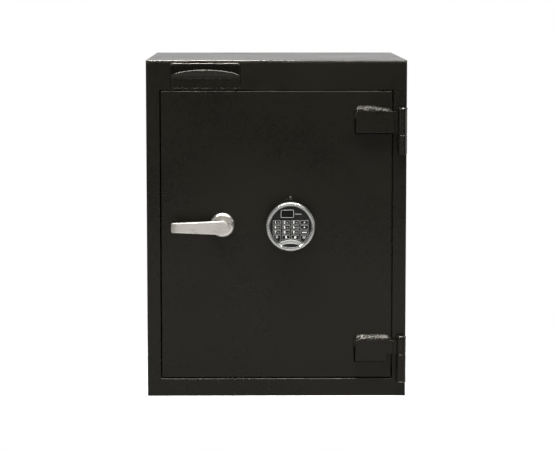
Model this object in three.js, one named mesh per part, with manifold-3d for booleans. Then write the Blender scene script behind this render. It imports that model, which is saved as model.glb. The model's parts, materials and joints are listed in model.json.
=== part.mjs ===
// Drop safe with a deposit drawer: a welded cabinet, an inset hinged door with a lever handle, an electronic
// keypad and boltwork, and a small drawer that empties into the compartment past a hinged flap.
// Millimetres, +Z up, the front faces -Y, the origin is the middle of the underside.
import * as THREE from 'three';
import { mergeVertices } from 'three/addons/utils/BufferGeometryUtils.js';
import Module from 'manifold-3d';

const wasm = await Module();
wasm.setup();

// Clearances
const SEAT = 0.3;              // between pieces that are welded, pressed or screwed together
const RUN_FIT = 0.5;           // between pieces that turn or slide on each other
const OVERRUN = 1;             // of a cut past a face, or of a shape into the one that it is joined to

// Facets
const ROUND = 28;              // of a full circle
const SMALL_ROUND = 20;        // of a small circle
const ROSE_ROUND = 40;
const KEYPAD_ROUND = 56;
const LENS_ROUND = 72;
const CORNER_STEPS = 2;        // across a small rounded corner
const RIM_STEPS = 6;           // across a rounded rim
const CURVE_STEPS = 12;        // along a wide curve
const HEXAGON = 6;

// Cabinet
const SAFE_WIDTH = 508;
const SAFE_DEPTH = 508;
const SAFE_HEIGHT = 661;
const WALL = 3.2;
const TOP_EDGE_ROUND = 1.5;
const FRAME_THICK = 6.35;
const FRAME_EDGE_ROUND = 1.5;
const JAMB_WIDTH = 26;
const HEADER_HEIGHT = 57.5;
const SILL_HEIGHT = 35;
const ANCHOR_HOLE = 13;
const ANCHOR_INSET_X = 70;
const ANCHOR_INSET_Y = 75;

// Door
const DOOR_THICK = 12.7;
const DOOR_GAP = 2.5;
const DOOR_EDGE_ROUND = 0.8;
const DOOR_SHUT_GAP = 1;       // between the door's back and the stops
const SWING_ROOM = 1.8;        // left between the dead bar and the frame as the door turns

// Hinges
const BARREL_RADIUS = 9;
const BARREL_ROUND = 1.2;
const HINGE_PIN_RADIUS = 4.5;
const PIN_HEAD_RADIUS = 10;
const PIN_HEAD_HEIGHT = 3.6;
const PIN_HEAD_ROUND = 1.8;
const BARREL_STANDOFF = 1;     // between the barrel and the frame's face
const FRAME_FOOT_WIDTH = 11;
const STRAP_THICK = 12;
const STRAP_HEIGHT = 42;
const STRAP_LENGTH = 74;
const STRAP_OVERHANG = 3;      // past the door's edge, over the gap
const NECK_THICK = 7;
const NECK_SETBACK = 3;        // of the neck behind the strap's front
const BEAD_TOP = 10.5;         // height of the weld over the strap
const BEAD_TOP_REACH = 10.5;   // out from the door's face
const BEAD_BOTTOM = 3;
const BEAD_BOTTOM_REACH = 5;
const BEAD_SIDE = 3;
const BEAD_SIDE_REACH = 7;
const BEAD_SIDE_RUN = 14;      // down from the strap's top
const BEAD_LAP = 1;            // over the strap's edge
const BARREL_JOINT_GAP = 0.5;
const STRAP_EDGE_ROUND = 1.2;
const UPPER_STRAP_DROP = 81;   // from the door's top to the strap's foot
const LOWER_STRAP_RISE = 32.5; // from the door's foot to the strap's foot
// Heights above the strap's foot, and the width of the notch under the strap's outer end
const UPPER_KNUCKLES = { top: 46.4, joint: -4, foot: -41.4, notch: 0 };
const LOWER_KNUCKLES = { top: 47.7, joint: 14.6, foot: -40.2, notch: 12 };

// Lever handle
const HANDLE_INSET = 119.7;    // from the door's lock-side edge
const HANDLE_RISE = 20.25;     // above the door's middle
const ROSE_RADIUS = 24;
const ROSE_HEIGHT = 9;
const ROSE_RIM = 6.5;          // width of its rounded rim
const ROSE_RIM_FOOT = 2.2;     // straight wall under the rim
const ROSE_DISH = 1;           // drop inside the rim
const HUB_RADIUS = 15;
const HUB_COLLAR = 4;          // height over the rose
const HUB_TAPER = 8;
const HUB_NECK_RADIUS = 12;
const LEVER_REACH = 101;       // from the axis to the tip
const LEVER_TIP_HEIGHT = 20.5;
const LEVER_ROOT_HEIGHT = 27.5;
const LEVER_TIP_CORNER = 2.5;
const LEVER_THICK = 13;
const LEVER_FRONT = 50;        // from the door's face to the lever's front
const LEVER_EDGE = 1.2;
const LEVER_TIP_CURL = 8;
const LEVER_CURL_LEAN = 2;     // drop of the tip's back behind the lever's back
const SPINDLE_SIDE = 9;
const SPINDLE_SOCKET = 3.8;    // depth of the spindle in the blade
const HANDLE_SWING = 60;       // degrees

// Boltwork
const BOLT_RADIUS = 9.5;
const BOLT_THROW = 25;
const BOLT_TOP_INSET = 61.5;   // upper bolt's axis below the door's top
const BOLT_NOSE = 1.5;
const BOLT_SETBACK = 12.8;     // bolt axis behind the door's back
const BOLT_TIP_INSET = 1.5;    // tips behind the door's edge when drawn back
const BOLT_LENGTH = 84;
const GUIDE_THICK = 6;
const GUIDE_END = 30;          // past the outer bolts' axes
const OUTER_GUIDE_INSET = 3.5; // from the door's edge
const OUTER_GUIDE_DEPTH = 28;
const INNER_GUIDE_DEPTH = 26;
const BAR_THICK = 6;
const BAR_END = 23;            // past the outer bolts' axes
const BAR_REST_GAP = 2;        // to the outer guide with the bolts thrown
const INNER_GUIDE_GAP = 4;
const PLATE_THICK = 5;
const PLATE_HEIGHT = 30;
const PLATE_SHOULDER = 50;     // from the handle's axis to where the drive plate narrows
const PLATE_END = 4.2;         // past the tooth
const CAM_RADIUS = 25;
const CAM_THICK = 6;
const CAM_GAP = 1;             // in front of the drive plate
const CAM_HUB_RADIUS = 13;
const CAM_EYE_RADIUS = 7;
const CAM_PIN_RADIUS = 4;
const CAM_PIN_SLACK = 0.7;
const CAM_PIN_PROUD = 2;
const JAMB_BAR_THICK = 7.5;
const DEAD_BAR_WIDTH = 33;
const DEAD_BAR_THICK = 10;
const DEAD_BAR_END = 24;       // from the door's top and foot
const STOP_THICK = 12;
const STOP_HEIGHT = 12;
const STOP_LIP = 12;

// Lock
const LOCK_SPACING = 132.8;    // from the handle's axis
const LOCK_WIDTH = 84;
const LOCK_HEIGHT = 61;
const LOCK_DEPTH = 29;
const LOCK_TOP_RISE = 6.5;     // above the handle's axis
const LOCK_CORNER = 4;
const LOCK_EDGE = 1;
const HARD_PLATE_SIDE = 110;
const HARD_PLATE_THICK = 6.35;
const LOCK_BOLT_WIDTH = 10;
const LOCK_BOLT_THICK = 8;
const LOCK_BOLT_LENGTH = 21;
const LOCK_BOLT_INSET = 14;    // its axis from the case's side
const TOOTH_WIDTH = 10;
const TOOTH_HEIGHT = 10;
const TOOTH_CLEARANCE = 2;     // beside the lock bolt, on either side
const TOOTH_RISE = 4;          // over the lock case

// Keypad
const KEYPAD_RISE = 0.3;       // above the handle's axis
const KEYPAD_RADIUS = 47.5;
const KEYPAD_BASE_RADIUS = 45.4;
const BASE_FLANGE = 3.4;
const BASE_FLANGE_ROUND = 1.3;
const BASE_TAPER = 1.2;
const KEYPAD_BASE_HEIGHT = 27;
const KEYPAD_PROUD = 40;
const RING_WIDTH = 7;
const RING_ROUND = 3.4;        // height of its rounded front
const RING_SKIRT_ROUND = 1.6;
const LENS_SINK = 2;
const RING_WRAP = 150;         // degrees of its rounded front, over the rim to the inside
const FACE_SINK = 2.5;
const FACE_THICK = 8.5;
const KEY_WIDTH = 15.8;
const KEY_HEIGHT = 7.9;
const KEY_PITCH_X = 17.8;
const KEY_PITCH_Z = 9.6;
const KEY_TOP_ROW = 8.8;
const KEY_PROUD = 1.3;
const KEY_GAP = 0.4;
const KEY_THICK = 7.5;
const KEY_CORNER = 1;
const KEY_COLUMNS = 4;
const KEY_ROWS = 4;
const LAST_ROW_EXTRA = 9;
const LENS_RADIUS = 41;
const LENS_TOP = -24.5;
const LENS_MARGIN = 1.6;
const WINDOW = { left: -19, right: 6, foot: 18, top: 33, proud: 1.2, sink: 1.5, round: 1.5, edge: 0.4 };
const CABLE_BORE = 5;
const SCREW_RISE = 52.2;       // above the keypad's middle
const SCREW_HEAD_RADIUS = 3.3;
const SCREW_HEAD_HEIGHT = 4.5;
const SCREW_HEAD_ROUND = 0.6;
const SCREW_SHANK_RADIUS = 2;
const SCREW_LENGTH = 14;
const SCREW_SOCKET_RADIUS = 2;
const SCREW_SOCKET_DEPTH = 3;

// Deposit drawer
const DRAWER_INSET = 47.5;     // from the safe's side
const DRAWER_WIDTH = 136;
const DRAWER_GAP = 0.6;        // around the drawer front
const DRAWER_SLOT = 2;         // over the drawer front, under the top plate
const DRAWER_SILL = 3.5;       // frame left under the drawer
const DRAWER_SETBACK = 0.4;    // of the drawer front behind the frame's face
const DRAWER_SHEET = 3;
const DRAWER_EDGE_ROUND = 0.7;
const POCKET_DEPTH = 14;       // behind the drawer front's face, for the fingertips
const POCKET_BEND = 3;         // inside its bend to the rim over it
const LIP_THICK = 2.6;
const LIP_BASE = 18.4;         // above the drawer front's foot
const LIP_RISE = 16.5;
const LIP_START = 3;           // degrees of lean at its root
const LIP_END = 24;            // degrees of lean at its edge
const LIP_SHOULDER = 1.5;
const TRAY_WIDTH = 130;
const TRAY_LENGTH = 173;
const TRAY_HEIGHT = 38;
const TRAY_SHEET = 2;
const TRAY_SLOPE_RISE = 26;
const TRAY_OVERHANG = 5.6;     // past the housing floor
const HOUSING_SHEET = 2;
const HOUSING_LENGTH = 250;
const HOUSING_SIDE_GAP = 1;
const DEFLECTOR_DROP = 56;
const DEFLECTOR_LIP = 30;
const DEFLECTOR_LEAN = 45;     // degrees
const FLAP_CLEARANCE = 13.7;   // behind the tray
const FLAP_HEIGHT = 36;
const FLAP_SHEET = 2;
const FLAP_KNUCKLE = 3.5;
const FLAP_GAP = 1.5;
const FLAP_PIN_RADIUS = 2;
const FLAP_HEADROOM = 3;

// Places worked out from the sizes above
const FRONT = -SAFE_DEPTH / 2;
const BACK = SAFE_DEPTH / 2;
const UNDER_TOP = SAFE_HEIGHT - WALL;
const OPENING_HALF = SAFE_WIDTH / 2 - JAMB_WIDTH;
const OPENING_TOP = SAFE_HEIGHT - HEADER_HEIGHT;
const FRAME_BACK = FRONT + FRAME_THICK;
const DOOR_HALF = OPENING_HALF - DOOR_GAP;
const DOOR_FOOT = SILL_HEIGHT + DOOR_GAP;
const DOOR_TOP = OPENING_TOP - DOOR_GAP;
const DOOR_BACK = FRONT + DOOR_THICK;
const DOOR_MIDDLE = (DOOR_FOOT + DOOR_TOP) / 2;
const HINGE_X = SAFE_WIDTH / 2 - BARREL_RADIUS;
const HINGE_Y = FRONT - BARREL_RADIUS - BARREL_STANDOFF;
const HANDLE_X = -DOOR_HALF + HANDLE_INSET;
const HANDLE_Z = DOOR_MIDDLE + HANDLE_RISE;
const KEYPAD_X = HANDLE_X + LOCK_SPACING;
const KEYPAD_Z = HANDLE_Z + KEYPAD_RISE;
const LOCK_TOP = HANDLE_Z + LOCK_TOP_RISE;
const LOCK_BOLT_X = KEYPAD_X - LOCK_WIDTH / 2 + LOCK_BOLT_INSET;
const SCREW_Z = KEYPAD_Z + SCREW_RISE;
const BOLT_TOP = DOOR_TOP - BOLT_TOP_INSET;
const BOLT_FOOT = 2 * HANDLE_Z - BOLT_TOP;
const BOLTS = { lower: BOLT_FOOT, middle: HANDLE_Z, upper: BOLT_TOP };
const BOLT_Y = DOOR_BACK + BOLT_SETBACK;
const BOLT_TIP = -DOOR_HALF + BOLT_TIP_INSET;
const SIDE_INNER = SAFE_WIDTH / 2 - WALL;
const DRAWER_HALF = DRAWER_WIDTH / 2;
const DRAWER_X = -SAFE_WIDTH / 2 + DRAWER_INSET + DRAWER_HALF;
const DRAWER_OPENING_FOOT = OPENING_TOP + DRAWER_SILL;
const HOUSING_FOOT = DRAWER_OPENING_FOOT - HOUSING_SHEET;
const DRAWER_FOOT = DRAWER_OPENING_FOOT + DRAWER_GAP;
const DRAWER_TOP = UNDER_TOP - DRAWER_SLOT;
const DRAWER_FACE = FRONT + DRAWER_SETBACK;
const POCKET_FACE = DRAWER_FACE + POCKET_DEPTH;
const POCKET_FLOOR = DRAWER_FOOT + LIP_BASE;
const TRAY_FRONT = POCKET_FACE + DRAWER_SHEET + SEAT;
const TRAY_BACK = TRAY_FRONT + TRAY_LENGTH;
const FLAP_Y = TRAY_BACK + FLAP_CLEARANCE;
const PLATE_Y = DOOR_BACK + OUTER_GUIDE_DEPTH - SEAT;

// Materials
function finish(color, roughness, metalness) {
  return () => new THREE.MeshStandardMaterial({ color, roughness, metalness });
}
const blackPaint = finish(0x26251f, 0.45, 0.1);
const innerPaint = finish(0x2b2a26, 0.6, 0.1);
const satinNickel = finish(0xb9b4ac, 0.32, 1.0);
const zincSteel = finish(0x9a9a96, 0.4, 0.9);
const blackPlastic = finish(0x23221f, 0.4, 0.0);
const keyRubber = finish(0x34332f, 0.6, 0.0);
const silverPlastic = finish(0xc4c2bc, 0.3, 0.6);
const darkGlass = finish(0x14140f, 0.1, 0.0);

// Geometry to solid and back
function solid(geometry) {
  const bare = geometry.clone();
  bare.deleteAttribute('normal');
  bare.deleteAttribute('uv');
  const merged = mergeVertices(bare, 1e-4);
  return new wasm.Manifold(new wasm.Mesh({
    numProp: 3,
    vertProperties: new Float32Array(merged.attributes.position.array),
    triVerts: new Uint32Array(merged.index.array),
  }));
}

function shell(body) {
  const mesh = body.getMesh();
  const geometry = new THREE.BufferGeometry();
  geometry.setAttribute('position', new THREE.BufferAttribute(new Float32Array(mesh.vertProperties), 3));
  geometry.setIndex(new THREE.BufferAttribute(new Uint32Array(mesh.triVerts), 1));
  geometry.computeVertexNormals();
  return geometry;
}

function join(first, ...rest) {
  return shell(rest.reduce((body, next) => body.add(solid(next)), solid(first)));
}

function cut(first, ...rest) {
  return shell(rest.reduce((body, next) => body.subtract(solid(next)), solid(first)));
}

function common(first, second) {
  return shell(solid(first).intersect(solid(second)));
}

// Points on an arc, from one angle to another in degrees
function arc(centreU, centreV, radiusU, radiusV, from, to, steps) {
  return Array.from({ length: steps + 1 }, (_, i) => {
    const angle = THREE.MathUtils.degToRad(from + (to - from) * i / steps);
    return [centreU + radiusU * Math.cos(angle), centreV + radiusV * Math.sin(angle)];
  });
}

// A box between two corners
function block(x0, x1, y0, y1, z0, z1) {
  const box = new THREE.BoxGeometry(x1 - x0, y1 - y0, z1 - z0);
  return box.translate((x0 + x1) / 2, (y0 + y1) / 2, (z0 + z1) / 2);
}

// Outlines are drawn in a plane and extruded square to it
function polygon(points) {
  return new THREE.Shape(points.map(([u, v]) => new THREE.Vector2(u, v)));
}

function roundedRectangle(u0, u1, v0, v1, radius, Kind = THREE.Shape) {
  const path = new Kind();
  path.moveTo(u0 + radius, v0);
  path.lineTo(u1 - radius, v0);
  path.absarc(u1 - radius, v0 + radius, radius, -Math.PI / 2, 0, false);
  path.lineTo(u1, v1 - radius);
  path.absarc(u1 - radius, v1 - radius, radius, 0, Math.PI / 2, false);
  path.lineTo(u0 + radius, v1);
  path.absarc(u0 + radius, v1 - radius, radius, Math.PI / 2, Math.PI, false);
  path.lineTo(u0, v0 + radius);
  path.absarc(u0 + radius, v0 + radius, radius, Math.PI, Math.PI * 1.5, false);
  return path;
}

function disc(u, v, radius, Kind = THREE.Shape) {
  const path = new Kind();
  path.absarc(u, v, radius, 0, Math.PI * 2, false);
  return path;
}

function extrude(shape, depth, edge, steps) {
  const geometry = new THREE.ExtrudeGeometry(shape, {
    depth: depth - 2 * edge,
    bevelEnabled: edge > 0,
    bevelThickness: edge,
    bevelSize: edge,
    bevelOffset: -edge,
    bevelSegments: CORNER_STEPS,
    curveSegments: steps,
  });
  return geometry.translate(0, 0, edge);
}

// Outline in x and z, from y0 back to y1
function facing(shape, y0, y1, edge = 0, steps = CORNER_STEPS) {
  return extrude(shape, y1 - y0, edge, steps).rotateX(Math.PI / 2).translate(0, y1, 0);
}

// Outline in y and z, from x0 to x1
function across(shape, x0, x1, edge = 0, steps = CORNER_STEPS) {
  const turn = new THREE.Matrix4().makeBasis(
    new THREE.Vector3(0, 1, 0), new THREE.Vector3(0, 0, 1), new THREE.Vector3(1, 0, 0));
  return extrude(shape, x1 - x0, edge, steps).applyMatrix4(turn).translate(x0, 0, 0);
}

// Outline in x and y, from z0 to z1
function upright(shape, z0, z1, edge = 0, steps = CORNER_STEPS) {
  return extrude(shape, z1 - z0, edge, steps).translate(0, 0, z0);
}

// A turned piece: rows of [radius, height] that start and end on the axis
function turned(rows, facets = ROUND) {
  return new THREE.LatheGeometry(rows.map(([r, h]) => new THREE.Vector2(r, h)), facets);
}

function turnedUpright(rows, x, y, facets) {
  return turned(rows, facets).rotateX(Math.PI / 2).translate(x, y, 0);
}

// Heights of a piece turned about y are counted out of the door, towards -y
function turnedOutward(rows, x, z, face, facets) {
  return turned(rows, facets).rotateX(Math.PI).translate(x, face, z);
}

function roundBar(radius, from, to, axis, a, b, facets = ROUND) {
  const bar = new THREE.CylinderGeometry(radius, radius, to - from, facets);
  const middle = (from + to) / 2;
  if (axis === 'x') return bar.rotateZ(Math.PI / 2).translate(middle, a, b);
  if (axis === 'y') return bar.translate(a, middle, b);
  return bar.rotateX(Math.PI / 2).translate(a, b, middle);
}

const safe = new THREE.Group();
const cabinet = new THREE.Group();
const door = new THREE.Group();
const handle = new THREE.Group();
const boltwork = new THREE.Group();
const drawer = new THREE.Group();
safe.add(cabinet, door, drawer);
door.add(handle, boltwork);

function place(group, name, geometry, material) {
  const mesh = new THREE.Mesh(geometry, material());
  mesh.name = name;
  group.add(mesh);
  return mesh;
}

function makeCabinet() {
  const insideBack = BACK - WALL - SEAT;
  const plateTop = UNDER_TOP - SEAT;
  const behindFrame = FRAME_BACK + SEAT;
  const betweenSides = SIDE_INNER - SEAT;
  const plan = polygon([[-SAFE_WIDTH / 2, FRONT], [SAFE_WIDTH / 2, FRONT],
    [SAFE_WIDTH / 2, BACK], [-SAFE_WIDTH / 2, BACK]]);
  place(cabinet, 'top_plate', upright(plan, UNDER_TOP, SAFE_HEIGHT, TOP_EDGE_ROUND), blackPaint);
  place(cabinet, 'left_side_plate',
    block(-SAFE_WIDTH / 2, -SIDE_INNER, behindFrame, BACK, 0, plateTop), blackPaint);
  place(cabinet, 'right_side_plate',
    block(SIDE_INNER, SAFE_WIDTH / 2, behindFrame, BACK, 0, plateTop), blackPaint);
  place(cabinet, 'back_plate',
    block(-betweenSides, betweenSides, BACK - WALL, BACK, 0, plateTop), blackPaint);
  const anchors = [];
  for (const sideX of [-1, 1]) {
    for (const sideY of [-1, 1]) {
      anchors.push(roundBar(ANCHOR_HOLE / 2, -WALL, 2 * WALL, 'z',
        sideX * (SAFE_WIDTH / 2 - ANCHOR_INSET_X), sideY * (SAFE_DEPTH / 2 - ANCHOR_INSET_Y), SMALL_ROUND));
    }
  }
  place(cabinet, 'base_plate',
    cut(block(-betweenSides, betweenSides, behindFrame, insideBack, 0, WALL), ...anchors), blackPaint);
}

function makeFrontFrame() {
  const outline = polygon([[-SAFE_WIDTH / 2, 0], [SAFE_WIDTH / 2, 0],
    [SAFE_WIDTH / 2, UNDER_TOP - SEAT], [-SAFE_WIDTH / 2, UNDER_TOP - SEAT]]);
  const doorway = block(-OPENING_HALF, OPENING_HALF, FRONT - WALL, FRAME_BACK + WALL, SILL_HEIGHT, OPENING_TOP);
  const drawerway = block(DRAWER_X - DRAWER_HALF - DRAWER_GAP, DRAWER_X + DRAWER_HALF + DRAWER_GAP,
    FRONT - WALL, FRAME_BACK + WALL, DRAWER_OPENING_FOOT, SAFE_HEIGHT);
  place(cabinet, 'front_frame',
    cut(facing(outline, FRONT, FRAME_BACK, FRAME_EDGE_ROUND), doorway, drawerway), blackPaint);
}

// The bar behind the lock-side jamb that the thrown bolts bear on, and the angles that the door shuts against
function makeJambPieces() {
  const behindFrame = FRAME_BACK + SEAT;
  place(cabinet, 'lock_jamb_bar', block(-SIDE_INNER + SEAT, -OPENING_HALF - SEAT,
    behindFrame, behindFrame + JAMB_BAR_THICK, SILL_HEIGHT, OPENING_TOP), innerPaint);
  const lipFront = DOOR_BACK + DOOR_SHUT_GAP;
  const stop = (edge, up) => polygon([
    [behindFrame, edge], [behindFrame, edge + up * STOP_HEIGHT],
    [behindFrame + STOP_THICK, edge + up * STOP_HEIGHT], [behindFrame + STOP_THICK, edge - up * STOP_LIP],
    [lipFront, edge - up * STOP_LIP], [lipFront, edge],
  ]);
  const left = DRAWER_X + DRAWER_HALF + HOUSING_SHEET + STOP_THICK;
  const right = OPENING_HALF - DEAD_BAR_WIDTH;
  place(cabinet, 'upper_door_stop', across(stop(OPENING_TOP + SEAT, 1), left, right), innerPaint);
  place(cabinet, 'lower_door_stop', across(stop(SILL_HEIGHT - SEAT, -1), -right, right), innerPaint);
}

function makeDoorPlate() {
  const outline = polygon([[-DOOR_HALF, DOOR_FOOT], [DOOR_HALF, DOOR_FOOT],
    [DOOR_HALF, DOOR_TOP], [-DOOR_HALF, DOOR_TOP]]);
  const through = (radius, x, z) =>
    roundBar(radius, FRONT - WALL, DOOR_BACK + WALL, 'y', x, z, SMALL_ROUND);
  const spindleBore = SPINDLE_SIDE * Math.SQRT1_2 + RUN_FIT;
  place(door, 'door_plate', cut(facing(outline, FRONT, DOOR_BACK, DOOR_EDGE_ROUND),
    through(spindleBore, HANDLE_X, HANDLE_Z), through(CABLE_BORE, KEYPAD_X, KEYPAD_Z),
    through(SCREW_SHANK_RADIUS + SEAT, KEYPAD_X, SCREW_Z)), blackPaint);
  makeDeadBar();
}

// The dead bar reaches behind the hinge-side jamb, and swings clear of the frame's inner corner
function makeDeadBar() {
  const front = DOOR_BACK + SEAT;
  const corner = Math.hypot(HINGE_X - OPENING_HALF, FRAME_BACK - HINGE_Y) + SWING_ROOM;
  const offset = Math.sqrt(Math.max(corner ** 2 - (front - HINGE_Y) ** 2, 0));
  const right = HINGE_X - offset;
  place(door, 'dead_bar', block(right - DEAD_BAR_WIDTH, right, front, front + DEAD_BAR_THICK,
    DOOR_FOOT + DEAD_BAR_END, DOOR_TOP - DEAD_BAR_END), blackPaint);
}

// A barrel hinge: the strap and its knuckle are welded to the door, the frame knuckle to the frame
function makeHinge(suffix, strapFoot, knuckles) {
  const size = {
    strapBase: strapFoot, knuckleTop: strapFoot + knuckles.top, joint: strapFoot + knuckles.joint,
    knuckleFoot: strapFoot + knuckles.foot, notch: knuckles.notch,
  };
  const strapRight = DOOR_HALF + STRAP_OVERHANG;
  const strapLeft = strapRight - STRAP_LENGTH;
  const strapFront = FRONT - SEAT - STRAP_THICK;
  const strapBack = FRONT - SEAT;
  const strapTop = size.strapBase + STRAP_HEIGHT;
  const bore = (from, to) => roundBar(HINGE_PIN_RADIUS + SEAT, from, to, 'z', HINGE_X, HINGE_Y, SMALL_ROUND);
  const inner = BARREL_RADIUS - BARREL_ROUND;
  const knuckle = (from, to) => turnedUpright([
    [0, from], ...arc(inner, from + BARREL_ROUND, BARREL_ROUND, BARREL_ROUND, -90, 0, CORNER_STEPS),
    ...arc(inner, to - BARREL_ROUND, BARREL_ROUND, BARREL_ROUND, 0, 90, CORNER_STEPS), [0, to],
  ], HINGE_X, HINGE_Y);
  const beads = [
    across(polygon([[strapBack, strapTop - BEAD_LAP],
      ...arc(strapBack, strapTop, BEAD_TOP_REACH, BEAD_TOP, 90, 180, RIM_STEPS),
      [strapBack - BEAD_TOP_REACH, strapTop - BEAD_LAP]]), strapLeft, strapRight),
    across(polygon([[strapBack, size.strapBase + BEAD_LAP],
      [strapBack - BEAD_BOTTOM_REACH, size.strapBase + BEAD_LAP],
      ...arc(strapBack, size.strapBase, BEAD_BOTTOM_REACH, BEAD_BOTTOM, 180, 270, CORNER_STEPS)]),
    strapLeft, strapRight - size.notch),
    upright(polygon([[strapLeft + BEAD_LAP, strapBack], ...arc(strapLeft, strapBack, BEAD_SIDE, BEAD_SIDE_REACH,
      180, 270, CORNER_STEPS), [strapLeft + BEAD_LAP, strapBack - BEAD_SIDE_REACH]]),
    strapTop - BEAD_SIDE_RUN, strapTop),
  ];
  const neckFoot = Math.max(size.strapBase, size.joint + BARREL_JOINT_GAP);
  const neckFront = strapFront + NECK_SETBACK;
  const neck = block(strapRight - OVERRUN, HINGE_X, neckFront, neckFront + NECK_THICK, neckFoot, strapTop);
  const strap = facing(polygon([[strapLeft, size.strapBase], [strapRight, size.strapBase],
    [strapRight, strapTop], [strapLeft, strapTop]]), strapFront, strapBack, STRAP_EDGE_ROUND);
  const whole = join(strap, neck, knuckle(size.joint + BARREL_JOINT_GAP, size.knuckleTop), ...beads);
  const notch = block(strapRight - size.notch, HINGE_X, strapFront - OVERRUN, strapBack + OVERRUN,
    size.strapBase - BEAD_BOTTOM - OVERRUN, neckFoot);
  const cuts = [bore(size.joint - OVERRUN, size.knuckleTop + OVERRUN)];
  if (size.notch > 0) cuts.push(notch);
  place(door, `hinge_strap_${suffix}`, cut(whole, ...cuts), blackPaint);

  const foot = block(HINGE_X - FRAME_FOOT_WIDTH / 2, HINGE_X + FRAME_FOOT_WIDTH / 2,
    HINGE_Y, FRONT - SEAT, size.knuckleFoot + BARREL_ROUND, size.joint - BARREL_ROUND);
  const pinFoot = size.knuckleFoot + BARREL_RADIUS;
  place(cabinet, `frame_knuckle_${suffix}`, cut(join(knuckle(size.knuckleFoot, size.joint), foot),
    bore(pinFoot - SEAT, size.joint + OVERRUN)), blackPaint);
  const headFoot = size.knuckleTop + SEAT;
  place(cabinet, `hinge_pin_${suffix}`, turnedUpright([
    [0, pinFoot], [HINGE_PIN_RADIUS, pinFoot], [HINGE_PIN_RADIUS, headFoot], [PIN_HEAD_RADIUS, headFoot],
    ...arc(PIN_HEAD_RADIUS - PIN_HEAD_ROUND, headFoot + PIN_HEAD_HEIGHT - PIN_HEAD_ROUND,
      PIN_HEAD_ROUND, PIN_HEAD_ROUND, 0, 90, CORNER_STEPS),
    [0, headFoot + PIN_HEAD_HEIGHT],
  ], HINGE_X, HINGE_Y), blackPaint);
}

function makeHandle() {
  place(door, 'handle_rose', cut(turnedOutward([
    [0, SEAT], [ROSE_RADIUS, SEAT],
    ...arc(ROSE_RADIUS - ROSE_RIM, ROSE_RIM_FOOT, ROSE_RIM, ROSE_HEIGHT - ROSE_RIM_FOOT, 0, 90, RIM_STEPS),
    [ROSE_RADIUS - ROSE_RIM - ROSE_DISH, ROSE_HEIGHT - ROSE_DISH], [0, ROSE_HEIGHT - ROSE_DISH],
  ], HANDLE_X, HANDLE_Z, FRONT, ROSE_ROUND),
  roundBar(HUB_RADIUS + RUN_FIT, FRONT - 2 * ROSE_HEIGHT, FRONT + OVERRUN, 'y', HANDLE_X, HANDLE_Z)),
  satinNickel);

  const leverFront = FRONT - LEVER_FRONT;
  const leverBack = leverFront + LEVER_THICK;
  const tip = HANDLE_X - LEVER_REACH;
  const rootHalf = LEVER_ROOT_HEIGHT / 2;
  const tipHalf = LEVER_TIP_HEIGHT / 2;
  const face = new THREE.Shape();
  face.moveTo(tip, HANDLE_Z - tipHalf + LEVER_TIP_CORNER);
  face.quadraticCurveTo(tip, HANDLE_Z - tipHalf, tip + LEVER_TIP_CORNER, HANDLE_Z - tipHalf);
  face.lineTo(HANDLE_X, HANDLE_Z - rootHalf);
  face.absarc(HANDLE_X, HANDLE_Z, rootHalf, -Math.PI / 2, Math.PI / 2, false);
  face.lineTo(tip + LEVER_TIP_CORNER, HANDLE_Z + tipHalf);
  face.quadraticCurveTo(tip, HANDLE_Z + tipHalf, tip, HANDLE_Z + tipHalf - LEVER_TIP_CORNER);
  const plan = new THREE.Shape();
  plan.moveTo(tip + LEVER_TIP_CURL, leverFront);
  plan.lineTo(HANDLE_X + rootHalf + OVERRUN, leverFront);
  plan.lineTo(HANDLE_X + rootHalf + OVERRUN, leverBack);
  plan.lineTo(tip + LEVER_TIP_CURL, leverBack);
  plan.lineTo(tip, leverBack + LEVER_CURL_LEAN);
  plan.lineTo(tip, leverFront + LEVER_TIP_CURL);
  plan.absarc(tip + LEVER_TIP_CURL, leverFront + LEVER_TIP_CURL, LEVER_TIP_CURL, Math.PI, Math.PI * 1.5, false);
  const blade = common(facing(face, leverFront, leverBack + LEVER_TIP_CURL, LEVER_EDGE, CURVE_STEPS),
    upright(plan, HANDLE_Z - rootHalf - OVERRUN, HANDLE_Z + rootHalf + OVERRUN));
  const hubFront = LEVER_FRONT - LEVER_THICK + OVERRUN;
  const hub = turnedOutward([
    [0, SEAT * 2], [HUB_RADIUS, SEAT * 2], [HUB_RADIUS, ROSE_HEIGHT + HUB_COLLAR],
    [HUB_NECK_RADIUS, ROSE_HEIGHT + HUB_COLLAR + HUB_TAPER],
    [HUB_NECK_RADIUS, hubFront], [0, hubFront],
  ], HANDLE_X, HANDLE_Z, FRONT);
  const half = SPINDLE_SIDE / 2;
  const spindleFront = leverBack - SPINDLE_SOCKET;
  const camBack = camY() + CAM_THICK;
  const socket = half + SEAT;
  place(handle, 'lever_handle', cut(join(blade, hub),
    block(HANDLE_X - socket, HANDLE_X + socket, spindleFront - SEAT, FRONT + OVERRUN,
      HANDLE_Z - socket, HANDLE_Z + socket)), satinNickel);
  place(handle, 'handle_spindle', block(HANDLE_X - half, HANDLE_X + half, spindleFront, camBack,
    HANDLE_Z - half, HANDLE_Z + half), zincSteel);
}

function camY() {
  return PLATE_Y - CAM_THICK - CAM_GAP;
}

// The cam pin starts half the swing to the right of upright and ends half the swing to the left
function camPin() {
  const start = THREE.MathUtils.degToRad(HANDLE_SWING / 2);
  return [HANDLE_X + CAM_RADIUS * Math.sin(start), HANDLE_Z + CAM_RADIUS * Math.cos(start)];
}

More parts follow.
